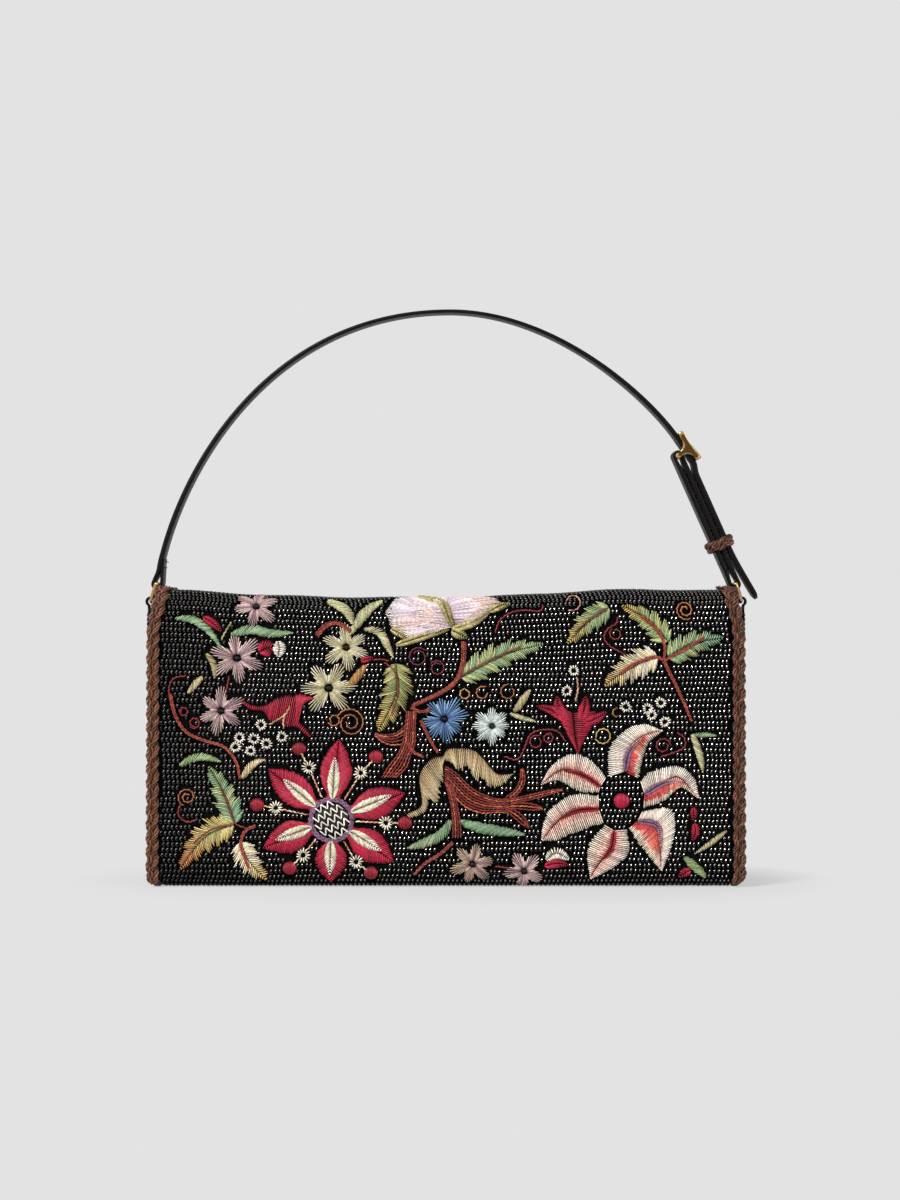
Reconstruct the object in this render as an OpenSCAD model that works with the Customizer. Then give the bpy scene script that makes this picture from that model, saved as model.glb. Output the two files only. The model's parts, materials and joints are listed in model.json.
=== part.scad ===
// Baguette bag: a slim zip-top handbag on its side gussets, with a beaded panel that wraps
// the front, base and back, braid over the side seams, and one buckled strap on two D-rings.
// The bag stands on its base at z = 0. X runs along its length and the front faces -Y.

/* [Bag body] */
// Length of the beaded panel between the two gussets
panel_len = 284; // [220:1:345]
// Height of the bag from its base to its rolled top edges
body_h = 144; // [120:1:180]
// Depth of the bag at its base
base_d = 54; // [50:1:80]
// Depth of the bag at its top
top_d = 46; // [44:1:70]
// Radius of the two long edges of the base
base_edge_r = 6; // [5:0.5:12]
// Radius of the two rolled top edges
top_edge_r = 9; // [6:0.5:11]
// Thickness of the beaded panel
panel_t = 2.6; // [2:0.1:4]
// Thickness of each stiffening board
board_t = 1.2; // [0.8:0.1:2]
// Thickness of the lining
lining_t = 0.8; // [0.6:0.1:1.2]
// Thickness of each side gusset
gusset_t = 2.4; // [1.6:0.1:4]
// Width of the braid over each side seam
braid_w = 6.4; // [4:0.2:10]
// Height of the braid above the beaded panel
braid_proud = 2; // [1:0.1:3]

/* [Inside pocket] */
// Length of the slip pocket
pocket_len = 110; // [60:1:180]
// Height of the slip pocket
pocket_h = 65; // [40:1:90]
// Slack between the pocket and the lining behind it
pocket_slack = 1.4; // [1:0.1:3]

/* [Zip] */
// Gap between a D-ring and the rolled edge of the mouth on each side of it
mouth_gap = 0.1; // [0.1:0.1:1.5]
// Thickness of the leather facing round the mouth
facing_t = 1; // [0.8:0.1:1.6]
// Depth of the zip's tape below the round side of the D-rings
zip_drop = 2; // [1.8:0.1:5]
// Thickness of the zip tape
tape_t = 0.8; // [0.6:0.1:1.2]
// Height of the zip teeth
tooth_h = 2.4; // [2:0.1:3.2]
// Distance from one tooth to the next on one tape
tooth_pitch = 3; // [2.5:0.1:5]
// Length of the zip slider
slider_len = 12; // [10:0.5:14]

/* [Strap] */
// Width of the strap
strap_w = 14; // [10:0.5:17]
// Thickness of one layer of the strap
strap_t = 2.4; // [1.8:0.1:2.9]
// Height of the crown of the strap above the bars of the D-rings
strap_rise = 134; // [110:1:170]
// Lean of the strap's left leg from upright
left_lean = 15; // [8:1:22]
// Length of the short strap from its D-ring to the buckle
short_len = 69; // [57:1:84]
// Lean of the short strap from upright
short_lean = 24; // [16:1:30]
// Thickness of the strap where it is thinned to fold round a D-ring
fold_t = 1.5; // [1.2:0.1:1.8]
// Length of the fold-back at the left D-ring
fold_len = 13; // [10:1:24]

/* [D-rings and tabs] */
// Gap between the strap's edge and the round side of a D-ring
ring_gap = 0.9; // [0.4:0.1:1.5]
// Radius of the D-ring's wire
ring_wire_r = 1.1; // [0.8:0.05:1.2]
// Lean of each D-ring, whose round side sits outwards
ring_lean = 20; // [10:1:24]
// Height of the straight bar of each D-ring above the top of the bag
bar_rise = 2.4; // [2.4:0.1:4]
// Thickness of the leather of the ring tabs
tab_t = 1.2; // [1:0.1:2]
// Width of a ring tab where it goes round the ring
tab_loop_w = 4; // [3:0.5:5]
// Width of a ring tab where it is sewn to the gusset
tab_sewn_w = 9; // [6:0.5:14]

/* [Buckle and keeper] */
// Radius of the buckle's centre bar, which holds the short strap and the tongue
centre_bar_r = 0.9; // [0.7:0.05:1.1]
// Radius of the buckle's two outer bars
outer_bar_r = 1; // [0.8:0.05:1.2]
// Distance of the upper outer bar from the centre bar, along the strap
upper_reach = 8; // [7.6:0.1:11]
// Distance of the lower outer bar from the centre bar, along the strap
lower_reach = 6.1; // [5.6:0.1:8]
// Gap between the short strap and the long strap that passes over it in the buckle
buckle_gap = 0.8; // [0.5:0.1:2]
// Slope of the long strap in the buckle, down from level
buckle_slope = 55.4; // [50:0.2:62]
// Thickness of each side plate of the buckle
plate_t = 1.8; // [1.2:0.1:2.4]
// Width of the arms of the side plates
plate_arm_w = 2.6; // [2:0.1:3.2]
// Thickness of the tongue
tongue_t = 1.4; // [1:0.1:1.6]
// Length of the keeper along the strap
keeper_len = 6; // [4:0.5:8]
// Thickness of the keeper's braid
keeper_t = 1.6; // [1.2:0.1:2.4]
// Distance of the keeper from the D-ring's bar, along the strap
keeper_up = 21; // [18:1:26]
// How far the keeper can slide up the strap
keeper_travel = 24; // [10:1:24]

/* [Hidden] */
$fn = 48;
eps = 0.01;

// Clearances: a pair that slides, a hinge on its pin, and a loose loop of leather on a wire
slide_gap = 0.3;
pin_gap = 0.05;
loop_gap = 0.2;

// The body's section: both walls lean in from the base to the top
wall_lean = atan((base_d - top_d) / 2 / body_h);
arc_steps = 8;
base_arc_y = base_d / 2 - base_edge_r * tan(wall_lean) - base_edge_r / cos(wall_lean);
top_arc_y = base_d / 2 - (body_h - top_edge_r) * tan(wall_lean) - top_edge_r / cos(wall_lean);
lining_out = panel_t + board_t;
lining_in = lining_out + lining_t;
gusset_x = panel_len / 2;

// Margins of the boards, the lining, the pocket, the facings and the braid
board_side = 3;
board_foot = 2;
board_head = 1;
lining_side = 0.8;
pocket_z = 38;
pocket_seam = 2;
facing_margin = 1;
braid_over = 0.6;
braid_foot = 1;
braid_head = 2.5;

// The D-rings pass the strap's width, and the mouth passes the D-rings
ring_r = strap_w / 2 + ring_gap + ring_wire_r;
mouth_y = ring_r + ring_wire_r + mouth_gap;

// The straight bars of the D-rings, which the strap swings on, and the foot of their round sides
bar_inset = 0.2;
bar_x = gusset_x - bar_inset;
bar_z = body_h + bar_rise;
left_bar = [-bar_x, bar_z];
right_bar = [bar_x, bar_z];
ring_low = [bar_x + ring_r * sin(ring_lean), bar_z - ring_r * cos(ring_lean)];
ring_foot_z = ring_low[1] - ring_wire_r;

// The zip's heights, from the plane of its tape
zip_z = ring_foot_z - zip_drop;
tooth_top_z = zip_z + tooth_h / 2;
facing_end_z = tooth_top_z + slide_gap;
lining_top_z = zip_z - tooth_h / 2 - slide_gap;
tape_hidden = 0.9;
tape_in_y = 1.2;
tape_out_y = mouth_y + facing_t + tape_hidden;
tooth_in_y = 0.15;
tooth_out_y = 3;
tooth_len = 1.5;
tooth_margin = 0.4;

// The zip's places along the bag: its rows of teeth, its sewn ends and its stop
row_start_x = -gusset_x + 30;
row_end_x = gusset_x - 42;
tooth_count = floor((row_end_x - row_start_x) / tooth_pitch) - 1;
zip_end_gap = 2;
zip_end_len = 37;
zip_end_y = mouth_y - 0.6;
stop_gap = 3;
stop_len = 3;
stop_y = 2.5;

// The slider, shut, and its pull
slider_past_row = 7;
slider_rest_x = row_end_x + slider_past_row + slider_len / 2;
slider_w = 8.8;
slider_plate_t = 1;
slider_post_w = 0.8;
slider_post_len = 5;
slider_top_z = tooth_top_z + slide_gap + slider_plate_t;
lug_r = 1.1;
lug_t = 0.8;
pull_pin_r = 0.6;
pull_pin_z = slider_top_z + lug_r + slide_gap;
pull_pin_x = slider_rest_x - 1.5;
pull_t = 1;
pull_eye_r = 1.25;
pull_eye_w = 3;
pull_neck_len = 3;
pull_w = 5;
pull_len = 9;
pull_tab_w = 7;
pull_tab_len = 15;
pull_tab_t = 1.8;

// The notch in each gusset for its D-ring, and the hole of each ring tab
notch_side = 0.5;
notch_foot = 1.8;
notch_y = ring_r + ring_wire_r + notch_side;
notch_z = ring_foot_z - notch_foot;
tab_hole_gap = 0.35;
tab_hole_r = ring_wire_r + tab_hole_gap;
tab_play_in = 1.4;
tab_play_out = 0.5;
tab_sewn_h = 16;

// Directions in the XZ plane
function unit(a) = [cos(a), sin(a)];
left_dir = unit(90 - left_lean);
left_side = unit(-left_lean);
short_dir = unit(90 + short_lean);
short_side = unit(short_lean);

// The short strap's axis runs down from the buckle's centre bar to the right D-ring's bar
centre_bar = right_bar + short_len * short_dir;
function short_axis(k, off) = centre_bar - k * short_dir + off * short_side;

// Layers of the strap beside the short strap's axis
layer_gap = 0.7;
layer_off = (strap_t + layer_gap) / 2;
long_off = layer_off + strap_t + layer_gap;
fold_r = ring_wire_r + loop_gap + fold_t / 2;
eye_t = 1.6;
eye_r = centre_bar_r + loop_gap + eye_t / 2;
eye_blend = 9;

// The buckle, measured from its centre bar: along the long strap that passes it, and outwards.
// The long strap lies between the short strap and the two outer bars.
span_dir = unit(-buckle_slope);
span_out = unit(90 - buckle_slope);
function in_buckle(along, out) = centre_bar + along * span_dir + out * span_out;
pass_out = layer_off + strap_t / 2 + buckle_gap + strap_t / 2;
bar_out = pass_out + strap_t / 2 + slide_gap + outer_bar_r;
upper_bar = in_buckle(-upper_reach, bar_out);
lower_bar = in_buckle(lower_reach, bar_out);
upper_pass = in_buckle(-upper_reach, pass_out);
lower_pass = in_buckle(lower_reach, pass_out);
plate_side = 0.4;
plate_centre_in = 1.2;
plate_centre = in_buckle(0.1, bar_out - plate_centre_in);
plate_in_y = strap_w / 2 + plate_side;
plate_out_y = plate_in_y + plate_t;

// The tongue: up through the strap's slot, a knee over the strap, and a tip on the lower bar
tongue_w = 2.2;
tongue_slot_w = 2.8;
tongue_slot_up = 7;
tongue_slot_down = 1;
tongue_wall = 0.8;
tongue_rest = 0.1;
tongue_tip_past = 0.6;
tongue_knee_back = 0.9;
tongue_knee_out = 1.2;
tongue_eye_r = centre_bar_r + pin_gap + tongue_wall;
tongue_knee = in_buckle(-tongue_knee_back, bar_out + tongue_knee_out);
tongue_tip = in_buckle(lower_reach + tongue_tip_past, bar_out + outer_bar_r + tongue_rest + tongue_t / 2);

// Where the long strap lies along the short strap, as far as the keeper travels, and its free end
keeper_room = keeper_len / 2 + 1;
keeper_k = short_len - keeper_up;
lay_start = keeper_k - keeper_travel - keeper_room;
lay_end = keeper_k + keeper_room;
tail_len = 28;
tail_turn = 5;
tail_ease = 8;
hole_r = 1;
hole_pitch = 10;
hole_first = 27;
hole_count = 2;

// Shape of the strap's arch, as shares of the half span between the D-rings
leg_pull = 0.36;
crown_pull_left = 0.59;
crown_pull_right = 0.37;
buckle_pull = 0.16;
crown = [2, bar_z + strap_rise];

// Curves and ribbons
function smooth(t) = let (c = max(0, min(1, t))) c * c * (3 - 2 * c);
function mix(a, b, t) = a + (b - a) * t;
function arc(c, r, a0, a1, n) = [for (i = [0 : n]) c + r * unit(a0 + (a1 - a0) * i / n)];
function bezier(p, n) = [for (i = [1 : n]) let (t = i / n, s = 1 - t)
    s * s * s * p[0] + 3 * s * s * t * p[1] + 3 * s * t * t * p[2] + t * t * t * p[3]];
function with_half(pts, a, b) = [for (i = [0 : len(pts) - 1])
    [pts[i][0], pts[i][1], mix(a, b, i / max(1, len(pts) - 1))]];
function heading(p, i) = let (
    a = p[max(0, i - 1)],
    b = p[min(len(p) - 1, i + 1)],
    d = [b[0] - a[0], b[1] - a[1]]) d / norm(d);
function edge(p, i, s) = let (d = heading(p, i)) [p[i][0] - s * p[i][2] * d[1], p[i][1] + s * p[i][2] * d[0]];
function ribbon(p) = concat(
    [for (i = [0 : len(p) - 1]) edge(p, i, 1)],
    [for (i = [len(p) - 1 : -1 : 0]) edge(p, i, -1)]);

// The body's outline in the YZ plane, moved in by an inset
function outline(inset) = concat(
    arc([-base_arc_y, base_edge_r], base_edge_r - inset, 180 - wall_lean, 270, arc_steps),
    arc([base_arc_y, base_edge_r], base_edge_r - inset, 270, 360 + wall_lean, arc_steps),
    arc([top_arc_y, body_h - top_edge_r], top_edge_r - inset, wall_lean, 90, arc_steps),
    arc([-top_arc_y, body_h - top_edge_r], top_edge_r - inset, 90, 180 - wall_lean, arc_steps));
function wall_y(z, inset) = base_d / 2 - z * tan(wall_lean) - inset / cos(wall_lean);

// Extrusions of a YZ section along X, and of an XZ section along Y
module along_x(len) rotate([90, 0, 90]) linear_extrude(len, center = true) children();
module along_y(len) rotate([90, 0, 0]) linear_extrude(len, center = true) children();
module mirror_if(on) if (on) mirror([1, 0, 0]) children(); else children();
module flip_if(on) if (on) mirror([0, 1, 0]) children(); else children();

// A box given by its lowest and highest corners
module span_box(lo, hi) translate(lo) cube(hi - lo);

// A sheet of even thickness on the straight part of the back wall
module wall_sheet(in_a, in_b, z0, z1, len) along_x(len)
    polygon([[wall_y(z0, in_a), z0], [wall_y(z1, in_a), z1], [wall_y(z1, in_b), z1], [wall_y(z0, in_b), z0]]);

// A straight bar with round ends, between two points of the XZ plane
module link(a, b, w) {
    translate(a) circle(d = w);
    translate(b) circle(d = w);
    translate(a) rotate(atan2(b[1] - a[1], b[0] - a[0])) translate([0, -w / 2]) square([norm(b - a), w]);
}

// Bag body
module outer_panel() color("#1a1a1a") difference() {
    along_x(panel_len) difference() {
        polygon(outline(0));
        polygon(outline(panel_t));
    }
    span_box([-gusset_x - 1, -mouth_y, body_h - 2 * panel_t], [gusset_x + 1, mouth_y, body_h + 1]);
}
module board_on_wall() color("#8a7a66")
    wall_sheet(panel_t, lining_out, base_edge_r + board_foot, lining_top_z - board_head,
        panel_len - 2 * board_side);
module front_board() flip_if(true) board_on_wall();
module back_board() board_on_wall();
module base_board() color("#8a7a66")
    span_box([-gusset_x + board_side, -base_arc_y, panel_t],
        [gusset_x - board_side, base_arc_y, lining_out]);
module lining() color("#4a3527") {
    lining_len = panel_len - 2 * lining_side;
    difference() {
        along_x(lining_len) polygon(outline(lining_out));
        along_x(lining_len - 2 * lining_t) polygon(outline(lining_in));
        span_box([-gusset_x, -base_d, lining_top_z], [gusset_x, base_d, body_h]);
    }
}
module lining_pocket() color("#553d2d") {
    pocket_in = lining_in + pocket_slack;
    difference() {
        wall_sheet(lining_in, pocket_in + lining_t, pocket_z, pocket_z + pocket_h, pocket_len);
        wall_sheet(lining_out, pocket_in, pocket_z + pocket_seam, pocket_z + pocket_h + 1,
            pocket_len - 2 * pocket_seam);
    }
}
module facing() color("#1c1917") {
    lip_z = body_h - panel_t;
    span_box([-gusset_x, mouth_y, facing_end_z], [gusset_x, mouth_y + facing_t, lip_z]);
    span_box([-gusset_x, mouth_y, lip_z - facing_t], [gusset_x, top_arc_y - facing_margin, lip_z]);
}
module facing_front() flip_if(true) facing();
module facing_back() facing();
module gusset() color("#141414") difference() {
    translate([gusset_x + gusset_t / 2, 0, 0]) along_x(gusset_t) polygon(outline(0));
    span_box([gusset_x - 1, -notch_y, notch_z], [gusset_x + gusset_t + 1, notch_y, body_h + 1]);
}
module gusset_left() mirror_if(true) gusset();
module gusset_right() gusset();

// Braid over a side seam: from just above the base, up the wall and over the rolled edge
module braid() color("#6b4a33") intersection() {
    translate([gusset_x + gusset_t + braid_over - braid_w / 2, 0, 0]) along_x(braid_w) difference() {
        polygon(outline(-braid_proud));
        polygon(outline(0));
    }
    span_box([0, mouth_y + braid_head, braid_foot], [panel_len, base_d, body_h + 2 * braid_proud]);
}
module braid_front_left() flip_if(true) mirror_if(true) braid();
module braid_front_right() flip_if(true) braid();
module braid_back_left() mirror_if(true) braid();
module braid_back_right() braid();

// Ring tab: sewn flat to the gusset, with a loop that the round side of the D-ring runs through
module ring_tab() color("#1c1917") {
    hole_in = ring_low - [tab_play_in, 0];
    hole_out = ring_low + [tab_play_out, 0];
    sewn_x = gusset_x + gusset_t;
    along_y(tab_loop_w) difference() {
        link(hole_in, hole_out, 2 * (tab_hole_r + tab_t));
        link(hole_in, hole_out, 2 * tab_hole_r);
    }
    span_box([sewn_x, -tab_sewn_w / 2, ring_low[1] - tab_hole_r - tab_t - tab_sewn_h],
        [sewn_x + 2 * tab_t, tab_sewn_w / 2, ring_low[1] - tab_hole_r - tab_t / 2]);
}
module ring_tab_left() mirror_if(true) ring_tab();
module ring_tab_right() ring_tab();

// Zip
module zip_end_left() color("#1c1917")
    span_box([-gusset_x, -zip_end_y, zip_z - tape_t / 2],
        [row_start_x - stop_gap - stop_len, zip_end_y, zip_z + tape_t / 2]);
module zip_end_right() color("#1c1917") difference() {
    span_box([gusset_x - zip_end_len, -zip_end_y, zip_z - tape_t / 2],
        [gusset_x, zip_end_y, zip_z + tape_t / 2]);
    span_box([gusset_x - zip_end_len - 1, -zip_end_gap / 2, zip_z - tape_t],
        [slider_rest_x + slider_len / 2 + 2, zip_end_gap / 2, zip_z + tape_t]);
}
module zip_bottom_stop() color("#e2b45a")
    span_box([row_start_x - stop_gap - stop_len, -stop_y, zip_z - tooth_h / 2],
        [row_start_x - stop_gap, stop_y, tooth_top_z]);
module zip_tape() color("#1c1917")
    span_box([row_start_x, tape_in_y, zip_z - tape_t / 2], [row_end_x, tape_out_y, zip_z + tape_t / 2]);
module zip_teeth(shift) color("#e2b45a") difference() {
    for (i = [0 : tooth_count])
        translate([row_start_x + tooth_margin + i * tooth_pitch + shift, tooth_in_y, zip_z - tooth_h / 2])
            cube([tooth_len, tooth_out_y - tooth_in_y, tooth_h]);
    span_box([row_start_x - 1, tape_in_y, zip_z - tape_t / 2],
        [row_end_x + 1, tape_out_y, zip_z + tape_t / 2]);
}
module zip_tape_front() flip_if(true) zip_tape();
module zip_tape_back() zip_tape();
module zip_teeth_front() flip_if(true) zip_teeth(0);
module zip_teeth_back() zip_teeth(tooth_pitch / 2);
module zip_slider() color("#e2b45a") {
    x0 = slider_rest_x - slider_len / 2;
    x1 = slider_rest_x + slider_len / 2;
    low_z = zip_z - tooth_h / 2 - slide_gap;
    lug_y = pull_eye_w / 2 + slide_gap + lug_t / 2;
    span_box([x0, -slider_w / 2, slider_top_z - slider_plate_t], [x1, slider_w / 2, slider_top_z]);
    span_box([x0, -slider_w / 2, low_z - slider_plate_t], [x1, slider_w / 2, low_z]);
    span_box([x1 - slider_post_len - 1, -slider_post_w / 2, low_z - eps],
        [x1 - 1, slider_post_w / 2, slider_top_z - slider_plate_t + eps]);
    for (s = [-1, 1])
        translate([pull_pin_x, s * lug_y, 0]) {
            translate([0, 0, pull_pin_z]) rotate([90, 0, 0]) cylinder(r = lug_r, h = lug_t, center = true);
            translate([-lug_r, -lug_t / 2, slider_top_z - eps])
                cube([2 * lug_r, lug_t, pull_pin_z - slider_top_z]);
        }
    translate([pull_pin_x, 0, pull_pin_z]) rotate([90, 0, 0])
        cylinder(r = pull_pin_r, h = 2 * lug_y, center = true);
}
module zip_pull() color("#e2b45a") translate([pull_pin_x, 0, pull_pin_z]) difference() {
    union() {
        rotate([90, 0, 0]) cylinder(r = pull_eye_r, h = pull_eye_w, center = true);
        span_box([-pull_neck_len, -pull_eye_w / 2, -pull_t / 2], [0, pull_eye_w / 2, pull_t / 2]);
        span_box([-pull_len, -pull_w / 2, -pull_t / 2], [eps - pull_neck_len, pull_w / 2, pull_t / 2]);
    }
    rotate([90, 0, 0]) cylinder(r = pull_pin_r + pin_gap, h = 2 * pull_w, center = true);
}
module zip_pull_tab() color("#1c1917") translate([pull_pin_x - pull_len, 0, pull_pin_z])
    span_box([-pull_tab_len, -pull_tab_w / 2, -pull_tab_t / 2], [0, pull_tab_w / 2, pull_tab_t / 2]);

// Long strap: fold-back and loop at the left D-ring, arch, pass through the buckle, free end
fold_seam = 0.05;
fold_close = 8;
leg_start = fold_len + 3;
function fold_off(u, half) = mix(fold_r, half + fold_seam, smooth(u / fold_close));
function fold_leg() = [for (u = [fold_len : -1 : 1])
    let (p = left_bar + u * left_dir + fold_off(u, fold_t / 2) * left_side) [p[0], p[1], fold_t / 2]];
function out_leg() = [for (u = [1 : leg_start])
    let (h = mix(fold_t / 2, strap_t / 2, smooth(u / fold_len)),
        p = left_bar + u * left_dir - fold_off(u, h) * left_side) [p[0], p[1], h]];
leg_top = left_bar + leg_start * left_dir - (strap_t / 2 + fold_seam) * left_side;
lay_point = short_axis(lay_start, long_off);
lay_reach = norm(lay_point - lower_pass);
tail_point = short_axis(lay_end, long_off);
tail_dir = unit(short_lean + tail_turn - 90);
tail_tip = tail_point + tail_len * tail_dir;
function long_path() = concat(
    fold_leg(),
    with_half(arc(left_bar, fold_r, -left_lean, -left_lean - 180, 12), fold_t / 2, fold_t / 2),
    out_leg(),
    with_half(bezier([leg_top, leg_top + leg_pull * bar_x * left_dir,
        crown - [crown_pull_left * bar_x, 0], crown], 20), strap_t / 2, strap_t / 2),
    with_half(bezier([crown, crown + [crown_pull_right * bar_x, 0],
        upper_pass - buckle_pull * bar_x * span_dir, upper_pass], 18), strap_t / 2, strap_t / 2),
    with_half([lower_pass], strap_t / 2, strap_t / 2),
    with_half(bezier([lower_pass, lower_pass + 0.3 * lay_reach * span_dir,
        lay_point + 0.4 * lay_reach * short_dir, lay_point], 6), strap_t / 2, strap_t / 2),
    with_half([tail_point], strap_t / 2, strap_t / 2),
    with_half(bezier([tail_point, tail_point - tail_ease * short_dir,
        tail_tip - tail_ease * tail_dir, tail_tip], 6), strap_t / 2, strap_t / 2));
module tongue_slot() {
    foot = in_buckle(0, pass_out);
    end_up = tongue_slot_w / 2 - tongue_slot_up;
    end_down = tongue_slot_down - tongue_slot_w / 2;
    translate([foot[0], 0, foot[1]]) rotate([0, buckle_slope, 0]) {
        translate([end_up, -tongue_slot_w / 2, -strap_t])
            cube([end_down - end_up, tongue_slot_w, 2 * strap_t]);
        for (x = [end_up, end_down])
            translate([x, 0, 0]) cylinder(d = tongue_slot_w, h = 2 * strap_t, center = true);
    }
}
module strap_long() color("#3a3633") difference() {
    along_y(strap_w) polygon(ribbon(long_path()));
    tongue_slot();
    for (i = [0 : hole_count - 1]) {
        p = short_axis(hole_first + i * hole_pitch, long_off);
        translate([p[0], 0, p[1]]) rotate([0, 90 - short_lean, 0])
            cylinder(r = hole_r, h = strap_t + 2 * slide_gap, center = true);
    }
}

// Short strap: one closed loop of two layers, round the buckle's centre bar and the D-ring's bar
function near_eye(k) = smooth(k / eye_blend);
function near_ring(k) = smooth((short_len - k) / eye_blend);
function loop_off(k) = k < short_len / 2
    ? mix(eye_r, layer_off, near_eye(k))
    : mix(fold_r, layer_off, near_ring(k));
function loop_half(k) = k < short_len / 2
    ? mix(eye_t, strap_t, near_eye(k)) / 2
    : mix(fold_t, strap_t, near_ring(k)) / 2;
short_steps = concat(
    [for (k = [1 : 1.5 : eye_blend + 1]) k],
    [for (k = [eye_blend : -1.5 : 1]) short_len - k]);
function loop_outline(s) = concat(
    arc(centre_bar, eye_r + s * eye_t / 2, short_lean + 180, short_lean, 12),
    [for (k = short_steps) short_axis(k, loop_off(k) + s * loop_half(k))],
    arc(right_bar, fold_r + s * fold_t / 2, short_lean, short_lean - 180, 12),
    [for (i = [len(short_steps) - 1 : -1 : 0]) let (k = short_steps[i])
        short_axis(k, -loop_off(k) - s * loop_half(k))]);
module strap_short() color("#3a3633") difference() {
    along_y(strap_w) difference() {
        polygon(loop_outline(1));
        polygon(loop_outline(-1));
    }
    translate([centre_bar[0], 0, centre_bar[1]]) rotate([90, 0, 0])
        cylinder(r = eye_r + eye_t / 2 + 1, h = tongue_slot_w, center = true);
}

// D-ring: straight bar on top for the strap, round side below for the tab
module d_ring() color("#e2b45a") translate([bar_x, 0, bar_z]) rotate([0, -ring_lean, 0]) {
    intersection() {
        rotate([0, 90, 0]) rotate_extrude() translate([ring_r, 0]) circle(r = ring_wire_r);
        translate([0, 0, -ring_r]) cube([4 * ring_wire_r, 4 * ring_r, 2 * ring_r], center = true);
    }
    rotate([90, 0, 0]) cylinder(r = ring_wire_r, h = 2 * ring_r, center = true);
    for (s = [-1, 1]) translate([0, s * ring_r, 0]) sphere(r = ring_wire_r);
}
module ring_left() mirror_if(true) d_ring();
module ring_right() d_ring();

// Buckle: two three-armed side plates joined by a centre bar and two outer bars
module cross_bar(at, r) translate([at[0], 0, at[1]]) rotate([90, 0, 0])
    cylinder(r = r, h = 2 * plate_out_y, center = true);
module buckle_frame() color("#e2b45a") {
    for (s = [-1, 1]) translate([0, s * (plate_in_y + plate_out_y) / 2, 0]) along_y(plate_t)
        for (at = [upper_bar, lower_bar, centre_bar]) link(plate_centre, at, plate_arm_w);
    cross_bar(upper_bar, outer_bar_r);
    cross_bar(lower_bar, outer_bar_r);
    cross_bar(centre_bar, centre_bar_r);
}
module buckle_tongue() color("#e2b45a") difference() {
    along_y(tongue_w) {
        translate(centre_bar) circle(r = tongue_eye_r);
        link(centre_bar, tongue_knee, tongue_t);
        link(tongue_knee, tongue_tip, tongue_t);
    }
    translate([centre_bar[0], 0, centre_bar[1]]) rotate([90, 0, 0])
        cylinder(r = centre_bar_r + pin_gap, h = 2 * tongue_w, center = true);
}

// Keeper: a braided band round both layers of the short strap and the long strap
module strap_keeper() color("#6b4a33") {
    at = short_axis(keeper_k, 0);
    in_lo = -layer_off - strap_t / 2 - loop_gap;
    in_hi = long_off + strap_t / 2 + loop_gap;
    in_y = strap_w / 2 + loop_gap;
    translate([at[0], 0, at[1]]) rotate([0, -short_lean, 0]) difference() {
        span_box([in_lo - keeper_t, -in_y - keeper_t, -keeper_len / 2],
            [in_hi + keeper_t, in_y + keeper_t, keeper_len / 2]);
        span_box([in_lo, -in_y, -keeper_len], [in_hi, in_y, keeper_len]);
    }
}

outer_panel();
front_board();
back_board();
base_board();
lining();
lining_pocket();
facing_front();
facing_back();
gusset_left();
gusset_right();
braid_front_left();
braid_front_right();
braid_back_left();
braid_back_right();
ring_tab_left();
ring_tab_right();
zip_end_left();
zip_end_right();
zip_bottom_stop();
zip_tape_front();
zip_tape_back();
zip_teeth_front();
zip_teeth_back();
zip_slider();
zip_pull();
zip_pull_tab();
strap_long();
strap_short();
ring_left();
ring_right();
buckle_frame();
buckle_tongue();
strap_keeper();
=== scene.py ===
# %% [markdown]
# # A beaded and embroidered baguette bag
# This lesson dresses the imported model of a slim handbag. The model gives the pieces, their
# places and their joints. Here each soft piece is modelled again as what it is: seed beads
# sewn in rows, silk stitches, plaited braid and folded leather. Sizes are in millimetres
# until a mesh is made, because that is how a maker of bags would write them.

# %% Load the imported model
import json
import math

import bpy
import numpy as np
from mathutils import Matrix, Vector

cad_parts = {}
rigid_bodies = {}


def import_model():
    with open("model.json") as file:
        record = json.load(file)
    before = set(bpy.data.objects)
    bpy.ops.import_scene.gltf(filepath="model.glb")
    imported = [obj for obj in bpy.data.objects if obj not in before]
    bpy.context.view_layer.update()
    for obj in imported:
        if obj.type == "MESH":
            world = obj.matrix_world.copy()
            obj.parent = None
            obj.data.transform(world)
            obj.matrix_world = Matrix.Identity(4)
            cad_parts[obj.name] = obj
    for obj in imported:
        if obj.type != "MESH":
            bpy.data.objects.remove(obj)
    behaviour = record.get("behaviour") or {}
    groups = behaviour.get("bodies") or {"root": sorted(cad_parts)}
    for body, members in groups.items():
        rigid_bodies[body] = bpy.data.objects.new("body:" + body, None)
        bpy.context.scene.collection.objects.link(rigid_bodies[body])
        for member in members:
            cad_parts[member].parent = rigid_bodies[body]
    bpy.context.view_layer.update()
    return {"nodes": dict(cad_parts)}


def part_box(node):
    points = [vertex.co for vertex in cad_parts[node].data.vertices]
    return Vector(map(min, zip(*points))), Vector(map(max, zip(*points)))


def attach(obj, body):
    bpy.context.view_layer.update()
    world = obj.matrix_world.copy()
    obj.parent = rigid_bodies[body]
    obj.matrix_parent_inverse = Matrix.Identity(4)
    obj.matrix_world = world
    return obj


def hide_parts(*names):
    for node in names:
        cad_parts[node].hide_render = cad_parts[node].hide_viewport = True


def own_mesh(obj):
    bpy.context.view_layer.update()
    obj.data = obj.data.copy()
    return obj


for thing in list(bpy.data.objects):
    bpy.data.objects.remove(thing)
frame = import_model()
scene = bpy.context.scene
MM = 0.001
rng = np.random.default_rng(20)

# %% [markdown]
# ## Measuring from the model
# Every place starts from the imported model, so that the looks can't drift from what they
# cover. `low` and `high` give the corners of a node's box in millimetres.

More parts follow.
